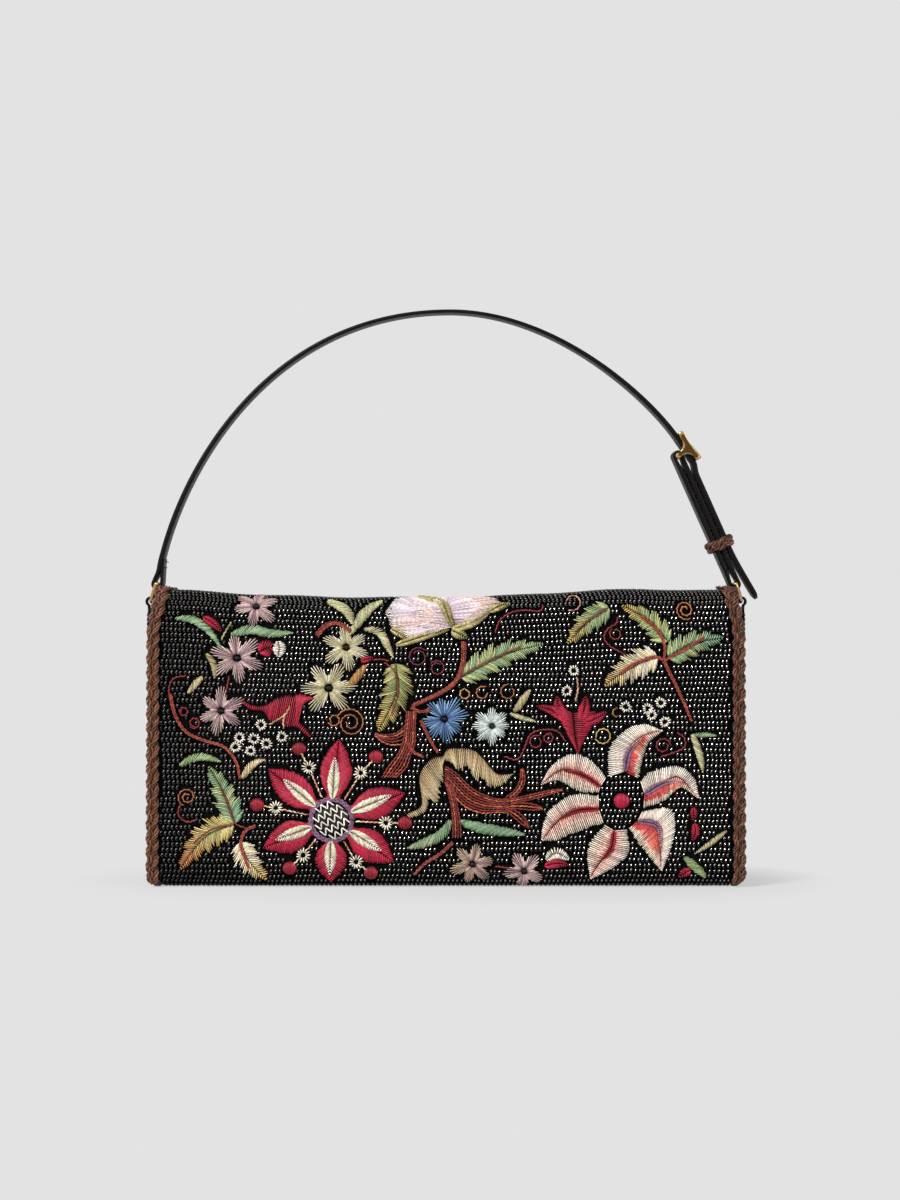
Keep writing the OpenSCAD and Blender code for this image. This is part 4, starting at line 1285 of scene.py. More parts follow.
CURLS = [
    ((183.5, 712), 5, 3.5, -1.2, 200, DARK_STALK), ((194, 723), 6, 4, 1.2, 220, DARK_STALK),
    ((187, 797), 9.5, 3, -1.6, 250, [BROWN, ORANGE]), ((334, 720), 6.5, 4, 1.1, 200, [BROWN, ORANGE]),
    ((350.5, 723), 15, 4, -2.0, 160, [BROWN, ORANGE]), ((465, 694), 5.5, 4.5, 1.0, 90, [ORANGE, GOLDEN]),
    ((482.5, 693), 7, 5, 0.85, 60, [ORANGE, BROWN]), ((508, 692), 8, 6, 0.9, 80, [BROWN, BROWN]),
    ((418, 657), 10, 6, 1.3, 40, [WINE, PLUM]), ((437, 668), 8, 5, -1.3, 150, [WINE, PLUM]),
    ((536, 742), 7, 5, 1.0, 60, DARK_STALK), ((548, 738), 5.5, 4, -1.1, 90, DARK_STALK),
    ((573, 602), 9, 6, 0.8, 240, [ROSE, BROWN]), ((687, 610), 10, 3, -1.8, 300, [ORANGE, BROWN]),
    ((616, 634), 6.5, 4.5, 1.0, 120, DARK_STALK), ((603, 736), 8, 7, 1.0, 200, [GOLDEN, OLIVE]),
    ((663, 746), 8, 5, 1.1, 0, DARK_STALK), ((617, 713), 5, 4, 0.6, 80, [BROWN, TAN])]


def branches():
    """Rows of stem stitch: a trunk's rows are spaced evenly between its first and its last."""
    work = Work("stitched_stems")
    for line, rows in BRANCHES:
        stem(work, line, STALK if rows > 1 else [RUST, BRICK], rows=rows, gap=0.9, width=0.74, lift=0.5)
    for first, last, rows in TRUNKS:
        for row in range(rows):
            course = mix(np.array(first), np.array(last), row / (rows - 1))
            stem(work, course, [RUST, GINGER] if row % 3 == 1 else [RUST, BRICK], width=0.74, lift=0.45)
    for line in TENDRILS:
        stem(work, line, DARK_STALK, width=0.72)
    for centre, outer, inner, turns, start, tones in CURLS:
        curl(work, centre, outer, inner, turns, start, tones)
    print("stems:", work.make(), "stitches")


branches()

# %% [markdown]
# ## Beads
# Seed beads lie in rows along the bag, each with its hole along the row. One bead is a small
# barrel of a few dozen faces. The embroidered ground stays free: the stitches' places mark
# the cells of a fine grid, and a bead whose cell is marked is left out.

# %% Ground that the stitches cover
CELL = 0.4
CLEAR = 0.95


def covered_grid():
    """A grid of cells over the front, true within CLEAR of a stitch's middle line."""
    cols = int(2 * PANEL_HALF / CELL) + 1
    rows = int(S_END / CELL) + 1
    marks = np.zeros((cols, rows), bool)
    places = np.vstack(covered)
    i = np.clip(((places[:, 0] + PANEL_HALF) / CELL).astype(int), 0, cols - 1)
    j = np.clip((places[:, 1] / CELL).astype(int), 0, rows - 1)
    marks[i, j] = True
    wide = marks.copy()
    far = int(CLEAR / CELL) + 1
    for di in range(-far, far + 1):
        for dj in range(-far, far + 1):
            if math.hypot(di, dj) * CELL <= CLEAR:
                wide |= np.roll(marks, (di, dj), axis=(0, 1))
    return wide


GROUND = covered_grid()
print("stitches cover", round(100 * GROUND.mean()), "percent of the front")

# %% Bead places and shapes
BEAD_PITCH = 2.12
ROW_PITCH = 2.66
BEAD_HALF = 1.02
BEAD_R = 1.27
FRONT_SIDES = 9
HIDDEN_SIDES = 7
EDGE_FREE = 3.2


def bead_places():
    """Places of all beads: rows a pitch apart in s, wandering by a third of a millimetre, with the
    beads a pitch apart in u from a start that differs from row to row."""
    last = int((S_END - 1.4) / ROW_PITCH)
    rows = np.arange(-last, last + 1) * ROW_PITCH
    count = int(2 * (PANEL_HALF - EDGE_FREE) / BEAD_PITCH)
    u = (np.arange(count) + 0.5 - count / 2)[None, :] * BEAD_PITCH
    u = u + rng.uniform(-0.5, 0.5, (len(rows), 1)) * BEAD_PITCH + rng.normal(0, 0.08, (len(rows), count))
    s = rows[:, None] + 0.3 * np.sin(u / 21 + rows[:, None] / 9) + rng.normal(0, 0.1, u.shape)
    return u.ravel(), s.ravel()


def barrel(sides):
    """A unit bead and its UV: five rings along its hole whose radius falls as on a ball, and a
    dimple at each end. The turn starts from the underside."""
    share = np.arange(sides) / sides
    turn = share * 2 * math.pi - math.pi / 2
    rings = [(-0.9, 0.52), (-0.5, 0.88), (0.0, 1.0), (0.5, 0.88), (0.9, 0.52)]
    points = [np.stack([np.full(sides, x), r * np.cos(turn), r * np.sin(turn)], axis=1) for x, r in rings]
    ends = np.array([[-0.84, 0, 0], [0.84, 0, 0]])
    places = np.concatenate([np.stack([np.full(sides, x), share], axis=1) for x, _ in rings])
    return np.vstack([*points, ends]), np.vstack([places, [[-0.9, 0], [0.9, 0]]])


def beads(name, u, s, sides):
    """A bead at each place, turned so that its hole follows the row and its side the surface."""
    n = len(u)
    middle = on_panel(u, s, -BEAD_R)
    along = on_panel(u + 0.5, s, -BEAD_R) - on_panel(u - 0.5, s, -BEAD_R)
    up = on_panel(u, s + 0.5, -BEAD_R) - on_panel(u, s - 0.5, -BEAD_R)
    along = unit_rows(along + up * rng.normal(0, 0.09, (n, 1)))
    out = unit_rows(np.cross(along, up))
    turn = np.stack([along, np.cross(out, along), out], axis=2)
    size = np.array([BEAD_HALF, BEAD_R, BEAD_R]) * rng.uniform(0.93, 1.04, (n, 1)) * np.ones((n, 3))
    shape, flat = barrel(sides)
    points = middle[:, None] + np.einsum("nij,nvj->nvi", turn, shape[None] * size[:, None])
    quads, tris = repeat_faces(tube_faces(5, sides), n, len(shape))
    tone = np.repeat(hue(5, 4, 4)[None] * rng.uniform(0.5, 1.6, (n, 1)), len(shape), axis=0)
    make_piece(name, points, quads, tris, "root", BEAD_GLASS,
               uv=np.tile(flat, (n, 1)), tone=tone)


BEAD_U, BEAD_S = bead_places()
cell_u = np.clip(((BEAD_U + PANEL_HALF) / CELL).astype(int), 0, GROUND.shape[0] - 1)
cell_s = np.clip((np.abs(BEAD_S) / CELL).astype(int), 0, GROUND.shape[1] - 1)
free = ~(GROUND[cell_u, cell_s] & (BEAD_S > 0))
BEAD_GROUPS = {"beads_base_left": (np.abs(BEAD_S) <= BASE_REACH) & (BEAD_U < 0),
               "beads_base_right": (np.abs(BEAD_S) <= BASE_REACH) & (BEAD_U >= 0)}
HANDS = (("left", -150, -47), ("middle", -47, 47), ("right", 47, 150))
for face, wall in (("front", BEAD_S > BASE_REACH), ("back", BEAD_S < -BASE_REACH)):
    for hand, first, last in HANDS:
        BEAD_GROUPS[f"beads_{face}_{hand}"] = wall & (BEAD_U >= first) & (BEAD_U < last) & free
for group, chosen in BEAD_GROUPS.items():
    beads(group, BEAD_U[chosen], BEAD_S[chosen], FRONT_SIDES if "front" in group else HIDDEN_SIDES)

# %% [markdown]
# ## Plaited braid
# Brown silk braid covers each side seam. It is a plait of three plies, and each ply is three
# strands twisted together. A near-black core, painted shade, fills the valleys between them.

# %% Tubes along many lines at once
def tubes(lines, outs, radius, sides=7, flat=0.85):
    """Closed tubes: a ring of points at each place of each line, whose first axis is across the
    line and the outward direction, and whose second is flattened. A pole closes each end."""
    ahead = unit_rows(np.gradient(lines, axis=1))
    side = unit_rows(np.cross(ahead, outs))
    up = np.cross(side, ahead)
    turn = np.arange(sides) / sides * 2 * math.pi
    ring = side[:, :, None] * np.cos(turn)[:, None] + up[:, :, None] * (flat * np.sin(turn))[:, None]
    n, k = lines.shape[:2]
    rings = (lines[:, :, None] + ring * np.asarray(radius)[..., None, None]).reshape(n, -1, 3)
    poles = [lines[:, :1] - ahead[:, :1] * 0.2, lines[:, -1:] + ahead[:, -1:] * 0.2]
    points = np.concatenate([rings, *poles], axis=1)
    gone = np.linalg.norm(np.diff(lines, axis=1), axis=2).cumsum(axis=1)
    gone = np.concatenate([np.zeros((n, 1)), gone], axis=1)
    along = np.concatenate([np.repeat(gone, sides, axis=1), gone[:, :1], gone[:, -1:]], axis=1)
    round_at = np.concatenate([np.tile(np.arange(sides) / sides, k), [0.5, 0.5]])
    quads, tris = repeat_faces(tube_faces(k, sides), n, k * sides + 2)
    return points, quads, tris, np.stack([along, np.broadcast_to(round_at, along.shape)], axis=-1)


# %% The plait
PLAIT_PERIOD = 20.0
PLAIT_HALF = 2.05
PLAIT_HIGH = 0.8
PLY_R = 0.82
PLY_TWIST = 7.5
PLAIT_R = 0.54
BRAID_BROWN = hue(95, 58, 39)
# near-black painted shade for the valleys between the plies
VALLEY_SHADE_BROWN = hue(14, 6, 4)
STRAND_SIDES = 6


def plait_lines(first, last, scale=1.0):
    """Flat lines (across, along, height) of the nine strands. A ply goes across as a sine and up as
    the sine of twice the angle, a third of a period after the ply before, and its strands turn
    round it."""
    along = np.linspace(first, last, int((last - first) / 0.62 / scale))
    way = 2 * math.pi * (along - first) / (PLAIT_PERIOD * scale)
    roll = -2 * math.pi * (along - first) / (PLY_TWIST * scale)
    lines = []
    for ply in range(3):
        across = PLAIT_HALF * np.sin(way + ply * 2 * math.pi / 3)
        height = 0.45 + PLAIT_HIGH * np.sin(2 * (way + ply * 2 * math.pi / 3))
        for strand in range(3):
            turn = roll + strand * 2 * math.pi / 3
            lines.append(np.stack([(across + PLY_R * np.cos(turn)) * scale, along,
                                   (height + 0.6 * PLY_R * np.sin(turn)) * scale], axis=-1))
    return np.array(lines)


def plait(name, place, first, last, shade_core, body, replaced, scale=1.0):
    """The strands and the shade core of a plait, carried to their place by `place`, which takes
    across, along and height. Each strand is painted lighter on top and darker underneath, as
    painted light and shade."""
    flat = plait_lines(first, last, scale)
    lines = place(flat[..., 0], flat[..., 1], flat[..., 2])
    outs = place(flat[..., 0], flat[..., 1], flat[..., 2] + 0.5) - lines
    n, k = lines.shape[:2]
    points, quads, tris, uv = tubes(lines, outs, np.full((n, k), PLAIT_R * scale), sides=STRAND_SIDES)
    turn = np.arange(STRAND_SIDES) / STRAND_SIDES * 2 * math.pi
    # painted light and shade round each strand: lighter on top, darker underneath
    painted_shade = np.concatenate([np.tile(0.85 + 0.55 * np.sin(turn), k), [0.8, 0.8]])
    tone = BRAID_BROWN * rng.uniform(0.45, 1.35, (n, 1, 1)) * painted_shade[None, :, None]
    made = [(points.reshape(-1, 3), quads, tris, uv.reshape(-1, 2), tone.reshape(-1, 3)), shade_core]
    make_joined(name, made, body, CORD_SILK, replaced)


def plain(points, quads, tris, tone=(0, 0, 0)):
    """A closed mesh for a joined piece, with no UV places of its own."""
    return points, quads, tris, np.zeros((len(points), 2)), np.broadcast_to(tone, points.shape)


def make_joined(name, parts, body, material, replaced=()):
    """One piece from several closed meshes: points, quads, triangles, UV places and tones of
    each."""
    start = 0
    all_quads = []
    all_tris = []
    for points, quads, tris, _, _ in parts:
        quads, tris = outwards(points, quads, tris)
        all_quads.append(quads + start)
        all_tris.append(tris + start)
        start += len(points)
    points, uv, tone = (np.concatenate([p[k] for p in parts]) for k in (0, 3, 4))
    return make_piece(name, points, np.vstack(all_quads), np.vstack(all_tris), body, material,
                      uv=uv, tone=tone, replaces=replaced)


def band(place, along, half, low_h, high_h, closed=False):
    """A band under a plait: a flattened loop of eight points carried along, with its ends
    closed. Its near-black colour is painted shade for the valleys of the plait."""
    turn = np.arange(8) / 8 * 2 * math.pi
    a = half * np.cos(turn)[None]
    h = mix(low_h, high_h, 0.5 + 0.5 * np.sin(turn))[None]
    rings = place(*np.broadcast_arrays(a, along[:, None], h)).reshape(-1, 3)
    if closed:
        return plain(rings, grid_faces(len(along) + 1, 8, wrap=True) % len(rings), NO_TRIS, VALLEY_SHADE_BROWN)
    middle = (low_h + high_h) / 2
    points = np.vstack([rings, place(np.zeros(2), along[[0, -1]], np.full(2, middle))])
    return plain(points, *tube_faces(len(along), 8), VALLEY_SHADE_BROWN)


# %% The four braids on the seams
BRAID_MIDDLE = (high("braid_front_right")[0] + low("braid_front_right")[0]) / 2
BRAID_FIRST = 26.4
BRAID_LAST = S_END - 3.4


def seam_braid(name, side, front):
    """A plait along s at the seam, two fifths wider over the top."""
    def place(a, b, h):
        wide = 1 + 0.42 * smooth((b - TOP_S + 8) / 16)
        return on_panel(side * BRAID_MIDDLE + a * wide, front * b, h - 0.1)

    shade_core = band(place, np.linspace(BRAID_FIRST - 0.6, BRAID_LAST + 0.4, 70), half=2.5, low_h=-0.9,
                high_h=0.3)
    plait(name, place, BRAID_FIRST, BRAID_LAST, shade_core, "root",
          [name.replace("plaited", "braid")])


for front, face in ((1, "front"), (-1, "back")):
    for side, hand in ((-1, "left"), (1, "right")):
        seam_braid(f"plaited_{face}_{hand}", side, front)

# %% [markdown]
# ## Gussets
# Each end of the bag is a panel of black satin. It follows the settled panel at its edges, is
# a little hollow in the middle, and is notched at the top for the D-ring.

# %% Gussets
NOTCH_HALF = 10.6
NOTCH_FOOT = 135.04
GUSSET_HOLLOW = 1.35
HOLLOW_TOP = 118


def wall_half(z):
    """Half the depth of the body at height z, on the leaning wall."""
    return BASE_HALF - z * math.tan(LEAN)


def gusset(name, side):
    """Columns across the bag, closer near the edges. Each runs up from the section's lower outline,
    which is a circle near the edges, to its upper one or the notch. The face is hollowed by a sine
    each way."""
    c = np.sin(np.linspace(-1, 1, 61) * math.pi / 2)
    notch_c = NOTCH_HALF / wall_half(140)
    c = np.unique(np.concatenate([c, [-notch_c - 0.012, -notch_c, notch_c, notch_c + 0.012]]))[:, None]
    over = np.clip(np.abs(c) * BASE_HALF - BASE_Y, 0, BASE_EDGE_R)
    foot = BASE_EDGE_R - np.sqrt(BASE_EDGE_R**2 - over**2)
    over = np.clip(np.abs(c) * wall_half(TOP_START) - TOP_Y, 0, TOP_EDGE_R - 0.01)
    head = TOP_START + np.sqrt(TOP_EDGE_R**2 - over**2)
    head = np.where(np.abs(c) <= notch_c + 0.001, NOTCH_FOOT, head)
    r = (1 - np.cos(np.linspace(0, math.pi, 60))) / 2
    z = foot + (head - foot) * r[None, :]
    y = c * wall_half(np.minimum(z, TOP_START)) * 0.997
    hollow = np.cos(np.clip(y / wall_half(z), -1, 1) * math.pi / 2)
    hollow = hollow * np.sin(np.clip(z / HOLLOW_TOP, 0, 1) * math.pi) ** 0.8
    crease = 0.35 * np.sin(z / 9 + y / 3.5) * hollow
    skin = PANEL_HALF + GUSSET_T - GUSSET_HOLLOW * hollow + crease - 0.15
    points, quads = shell(settle(grid_points(side * skin, y, z)),
                          settle(grid_points(side * (PANEL_HALF + 0.1), y, z)))
    return make_piece(name, points, quads, NO_TRIS, "root", SATIN,
                      replaces=[name.replace("satin", "gusset")])


satin_walls = [gusset("satin_left", -1), gusset("satin_right", 1)]

# %% [markdown]
# ## Leather facings round the mouth
# A strip of thin leather binds each edge of the mouth and turns down inside to the zip. It
# follows the sunken top.

# %% Facings
FACING_FOOT = low("facing_back")[2]
FACING_T = 0.95


def facing(name, front):
    """The strip's section is a loop of points between its foot and the top of the panel's edge,
    carried along the bag: the upper points ride with the settled panel and the lower ones stay."""
    x = np.linspace(-PANEL_HALF + 0.4, PANEL_HALF - 0.4, 120)[:, None]
    top = BODY_H - 0.45
    inner = MOUTH_HALF
    outer = MOUTH_HALF + FACING_T
    ring_y = np.array([inner, inner, inner + 0.25, outer - 0.2, outer, outer])[None]
    share = np.array([0.0, 0.93, 1.0, 1.0, 0.93, 0.0])[None]
    crown = settle(grid_points(x, front * outer, top))[..., 2]
    foot = np.minimum(FACING_FOOT - 0.1, crown - 0.8)
    z = foot + (crown - foot) * share
    points = grid_points(x, -front * ring_y, z)
    k = ring_y.shape[1]
    quads = grid_faces(len(x), k, wrap=True)
    first = np.array([[2, 1, 0], [3, 2, 0], [4, 3, 0], [5, 4, 0]])
    last = first[:, ::-1] + (len(x) - 1) * k
    make_piece(name, points, quads, np.vstack([first, last]), "root", TAB_LEATHER,
               tone=np.zeros(points.shape), replaces=[name.replace("bound", "facing")])


facing("bound_front", 1)
facing("bound_back", -1)

# %% [markdown]
# ## Lining and pocket
# The lining is a brown twill box that hangs inside the boards, open at the top. A slip pocket
# is sewn to its back wall with a little slack.

# %% Lining
LINING_OUT = 3.85
LINING_IN = 4.55
LINING_END = high("lining")[0]
LINING_TOP = high("lining")[2]


def lining():
    """The strip is the panel's own surface moved inwards, up to the lining's height. The two ends
    are flat sheets as wide as the wall at each height, with a slow ripple."""
    top_s = np.interp(LINING_TOP, WALL_Z, WALL_S)
    s = np.linspace(-top_s, top_s, 150)[:, None]
    u = np.linspace(-LINING_END, LINING_END, 90)[None, :]
    parts = [shell(on_panel(u, s, -LINING_OUT), on_panel(u, s, -LINING_IN))]
    z = np.linspace(LINING_OUT, LINING_TOP, 40)[:, None]
    c = np.linspace(-1, 1, 30)[None, :]
    under = np.clip(BASE_EDGE_R - z, 0, BASE_EDGE_R)
    foot_in = BASE_EDGE_R - np.sqrt(BASE_EDGE_R**2 - under**2)
    y = c * (wall_half(z) - LINING_OUT - foot_in * 0.9)
    ripple = 0.25 * np.sin(z / 11) * np.cos(c * math.pi / 2)
    for side in (-1, 1):
        x = side * (LINING_END - 0.1)
        inner_x = x - side * (0.7 + np.abs(ripple))
        parts.append(shell(settle(grid_points(x, y, z)), settle(grid_points(inner_x, y, z))))
    made = [plain(points, quads, NO_TRIS) for points, quads in parts]
    return make_joined("lining_cloth", made, "root", TWILL, ["lining"])


def pocket():
    """A sheet that touches the lining at its sides and foot, and stands off by its slack in the
    middle."""
    first = low("lining_pocket")
    last = high("lining_pocket")
    x = np.linspace(first[0], last[0], 60)[None, :]
    v = np.linspace(0, 1, 40)[:, None]
    z = mix(first[2], last[2], v)
    across = np.clip((1 - np.abs(2 * (x - first[0]) / (last[0] - first[0]) - 1)) * 8, 0, 1)
    off = LINING_IN + 0.05 + 1.3 * smooth(across) * smooth(v * 6) * (0.85 + 0.15 * np.sin(x / 9))
    points, quads = shell(*(settle(grid_points(x, wall_half(z) - off - t, z)) for t in (0.0, 0.75)))
    return make_piece("pocket_cloth", points, quads, NO_TRIS, "root", TWILL,
                      replaces=["lining_pocket"])


lining_sheet = lining()
pocket_sheet = pocket()

# %% [markdown]
# ## Zip tapes
# Each half of the zip is woven on a tape with a cord along its teeth, two ribs, and a thin
# outer edge that is sewn under the facing. Each tape moves with its half of the zip.


def zip_tape(side, front):
    """Half the thickness across the tape, with v from 0 at the teeth to 1 at the outer edge, is a
    base, a bell for the cord, and two more for the ribs. The tape waves a little towards its outer
    edge."""
    node = "zip_tape_" + side
    first = low(node)
    last = high(node)
    x = np.linspace(first[0], last[0], 160)[None, :]
    v = np.linspace(0, 1, 31)[:, None]
    near = first[1] if front < 0 else last[1]
    far = last[1] if front < 0 else first[1]
    bells = [(0.03, 0.05, 0.18), (0.45, 0.03, 0.06), (0.55, 0.03, 0.06)]
    half = 0.17 + sum(tall * np.exp(-(((v - place) / wide) ** 2)) for place, wide, tall in bells)
    half = half * np.clip(np.minimum(v, 1 - v) * 40 + 0.4, 0, 1)
    middle = (first[2] + last[2]) / 2 + 0.09 * v * np.sin(x / 7.5)
    y = mix(near, far, v)
    points, quads = shell(*(grid_points(x, y, middle + way * half) for way in (1, -1)))
    tape = make_piece("woven_tape_" + side, points, quads, NO_TRIS, "zip_half_" + side, TAPE,
                      replaces=[node])
    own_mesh(tape)


zip_tape("front", 1)
zip_tape("back", -1)

# %% [markdown]
# ## Strips of leather
# The strap and the tabs are flat strips that bend only one way. A strip is a rounded section
# carried along a line in the plane across its bends. Its rims are painted, so the section's
# rim points carry a mark that the leather's material turns into edge paint. A crease is
# pressed in along each rim.

# %% The strip's section and sweep
RIM_DEEP = 0.55
CREASE_DEEP = 0.14


def strip_section(half):
    """Points (across, share of the half thickness, depth of the crease, paint mark): the two faces
    with their creases, and half circles for the rims."""
    face = np.array([[-1.5, 1, 0, 0], [-1.9, 1, CREASE_DEEP, 0], [-2.3, 1, 0, 0]])
    right = face + [half, 0, 0, 0]
    left = right[::-1] * [-1, 1, 1, 1]
    turn = np.radians([78, 52, 26, 0, -26, -52, -78])
    across = half - RIM_DEEP + RIM_DEEP * np.cos(turn)
    rim = np.stack([across, np.sin(turn), 0 * turn, 1 + 0 * turn], axis=1)
    flip = np.array([1, -1, 1, 1])
    return np.vstack([[[0, 1, 0, 0]], right[::-1], rim, right * flip, [[0, -1, 0, 0]],
                      left * flip, rim[::-1] * [-1, 1, 1, 1], left[::-1]])


def sweep_strip(path, half_t, half_w, closed=False):
    """The section carried along a path of (x, z) points: the place is the path's point, plus the
    half thickness along its normal, plus y across. half_w may change along the path, and the
    section narrows with it."""
    path = np.asarray(path, float)
    step = np.roll(path, -1, axis=0) - np.roll(path, 1, axis=0) if closed else np.gradient(path, axis=0)
    normal = left_of(unit_rows(step))
    n = len(path)
    half_w = np.broadcast_to(half_w, n)
    half_t = np.broadcast_to(half_t, n)
    section = strip_section(half_w.max())
    across = section[None, :, 0] * (half_w / half_w.max())[:, None]
    out = section[None, :, 1] * half_t[:, None] - np.sign(section[None, :, 1]) * section[None, :, 2]
    x = path[:, None, 0] + normal[:, None, 0] * out
    z = path[:, None, 1] + normal[:, None, 1] * out
    k = len(section)
    points = grid_points(x, across, z).reshape(-1, 3)
    uv = np.broadcast_arrays(way_along(path)[:, None], section[None, :, 0])
    uv = np.stack(uv, axis=-1).reshape(-1, 2)
    tone = np.tile(section[:, 3], n)[:, None] * np.ones((1, 3))
    if closed:
        return points, grid_faces(n + 1, k, wrap=True) % (n * k), NO_TRIS, uv, tone
    ends = np.array([[path[0, 0], 0, path[0, 1]], [path[-1, 0], 0, path[-1, 1]]])
    quads, tris = tube_faces(n, k)
    return (np.vstack([points, ends]), quads, tris, np.vstack([uv, uv[[0, -1]]]),
            np.vstack([tone, np.ones((2, 3))]))


# %% [markdown]
# ## The strap's line
# The long strap folds round the left D-ring, rises in an arch, passes through the buckle and
# lies along the short strap to its free end. These are the model's own directions and curves,
# written again with more points.

# %% The strap's line
STRAP_HALF_W = 7.0
STRAP_T = 2.4
FOLD_T = 1.5
FOLD_LEN = 13
FOLD_R = 2.05
SHORT_LEN = 69
BAR_X = 141.8
BAR_Z = 146.4
CROWN = np.array([2.0, 280.4])
LEFT_BAR = np.array([-BAR_X, BAR_Z])
RIGHT_BAR = np.array([BAR_X, BAR_Z])
LEFT_DIR = unit(75)
LEFT_SIDE = unit(-15)
SHORT_DIR = unit(114)
SHORT_SIDE = unit(24)
SPAN_DIR = unit(-55.4)
SPAN_OUT = unit(34.6)
TAIL_DIR = unit(-61)
CENTRE_BAR = RIGHT_BAR + SHORT_LEN * SHORT_DIR
LAYER_OFF = 1.55
LONG_OFF = 4.65
PASS_OUT = 4.75
LAY_START = 13
LAY_END = 52
TAIL_LEN = 28
TAIL_EASE = 8


def arc(centre, radius, first, last, count):
    """Points on a circle from one angle to another."""
    turn = np.radians(np.linspace(first, last, count))
    return centre + radius * np.stack([np.cos(turn), np.sin(turn)], axis=1)


def bezier(a, b, c, d, count):
    """A cubic curve's points after its first: shares t cubed and so on of its four handles."""
    t = np.linspace(0, 1, count + 1)[1:, None]
    return (1 - t) ** 3 * a + 3 * (1 - t) ** 2 * t * b + 3 * (1 - t) * t**2 * c + t**3 * d


def short_axis(k, off):
    """A point on the short strap's axis, k down from the buckle's centre bar and off to its
    side."""
    k, off = np.broadcast_arrays(k, off)
    return CENTRE_BAR - k[..., None] * SHORT_DIR + off[..., None] * SHORT_SIDE


def in_buckle(along, out):
    """A point of the buckle, measured from its centre bar along and away from the long strap."""
    return CENTRE_BAR + along * SPAN_DIR + out * SPAN_OUT


def long_line():
    """The long strap's line and its half thickness at each point: it is pared thinner over the
    crown."""
    u = np.linspace(FOLD_LEN, 1, 14)[:, None]
    skived = mix(0.2, FOLD_T / 2, smooth((FOLD_LEN - u) / 7))
    off = mix(FOLD_R, skived + 0.05, smooth(u / 8))
    folded = LEFT_BAR + u * LEFT_DIR + off * LEFT_SIDE
    turned = arc(LEFT_BAR, FOLD_R, -15, -195, 18)
    u = np.linspace(1, FOLD_LEN + 3, 18)[:, None]
    half = mix(FOLD_T / 2, STRAP_T / 2, smooth(u / FOLD_LEN))
    off = mix(FOLD_R, half + 0.05, smooth(u / 8))
    rising = LEFT_BAR + u * LEFT_DIR - off * LEFT_SIDE
    leg_top = rising[-1]
    upper = in_buckle(-8.0, PASS_OUT)
    lower = in_buckle(6.1, PASS_OUT)
    lay = short_axis(LAY_START, LONG_OFF)
    reach = np.linalg.norm(lay - lower)
    tail = short_axis(LAY_END, LONG_OFF)
    tip = tail + TAIL_LEN * TAIL_DIR
    level = np.array([BAR_X, 0])
    line = np.vstack([
        folded, turned, rising,
        bezier(leg_top, leg_top + 0.36 * BAR_X * LEFT_DIR, CROWN - 0.59 * level, CROWN, 80),
        bezier(CROWN, CROWN + 0.37 * level, upper - 0.16 * BAR_X * SPAN_DIR, upper, 70),
        mix(upper, lower, np.linspace(0, 1, 9)[1:, None]),
        bezier(lower, lower + 0.3 * reach * SPAN_DIR, lay + 0.4 * reach * SHORT_DIR, lay, 14),
        mix(lay, tail, np.linspace(0, 1, 16)[1:, None]),
        bezier(tail, tail - TAIL_EASE * SHORT_DIR, tip - TAIL_EASE * TAIL_DIR, tip, 24)])
    thin = len(folded) + len(turned)
    half_t = np.full(len(line), STRAP_T / 2)
    half_t[:thin] = FOLD_T / 2
    half_t[:len(folded)] = skived[:, 0]
    half_t[thin:thin + len(rising)] = half[:, 0]
    crown = 1 - smooth(np.abs(line[:, 0] - CROWN[0]) / BAR_X * 1.1)
    return line, half_t * (1 - 0.3 * crown)


LONG_LINE, LONG_HALF = long_line()
print("the long strap is", round(length_of(LONG_LINE)), "mm long")

# %% [markdown]
# ## Cutting holes
# Punched holes and the tongue's slot are cut with closed cutters, and the cut is then kept as
# the piece's own mesh. Sharp edges are marked by angle, so that the faces stay smooth round
# the bends and crisp at the cuts.

# %% Punches
def punch(piece, shapes):
    """Cuts each closed shape (points, quads, tris) out of a piece."""
    cutters = []
    for points, quads, tris in shapes:
        quads, tris = outwards(points, quads, tris)
        mesh = bpy.data.meshes.new("cutter")
        mesh.from_pydata((points * MM).tolist(), [], quads.tolist() + tris.tolist())
        cutter = bpy.data.objects.new("cutter", mesh)
        scene.collection.objects.link(cutter)
        cutters.append(cutter)
        cut = piece.modifiers.new("punch", "BOOLEAN")
        cut.object = cutter
        cut.solver = "EXACT"
    bpy.context.view_layer.update()
    seen = piece.evaluated_get(bpy.context.evaluated_depsgraph_get())
    made = bpy.data.meshes.new_from_object(seen)
    piece.modifiers.clear()
    piece.data = made
    for cutter in cutters:
        bpy.data.objects.remove(cutter)
    made.set_sharp_from_angle(angle=math.radians(40))
    print(f"{piece.name}: {len(made.polygons)} faces after {len(shapes)} cuts")


def slot_shape(middle, along, out, reach_up, reach_down, half, depth):
    """A closed prism with round ends: a stadium from reach_up behind the middle to reach_down past
    it, half wide each way in y, and deep along out."""
    ends = [np.radians(np.linspace(90, 270, 12)), np.radians(np.linspace(270, 450, 12))]
    shift = [half - reach_up, reach_down - half]
    a = np.concatenate([s + half * np.cos(t) for s, t in zip(shift, ends)])
    y = np.concatenate([half * np.sin(t) for t in ends])
    rings = []
    for side in (-depth, depth):
        flat = middle[None] + a[:, None] * along + side * out
        rings.append(grid_points(flat[:, 0], y, flat[:, 1]))
    caps = [grid_points(cap[0], 0, cap[1]) for cap in (middle - depth * out, middle + depth * out)]
    quads, tris = tube_faces(2, len(a))
    return np.vstack([*rings, *caps]), quads, tris


# %% The two straps
HOLE_R = 1.0
HOLE_PLACES = (27, 37)
SLOT_HALF = 1.4
TIP_ROUND = 7.0
EYE_R = 1.9
EYE_T = 1.6


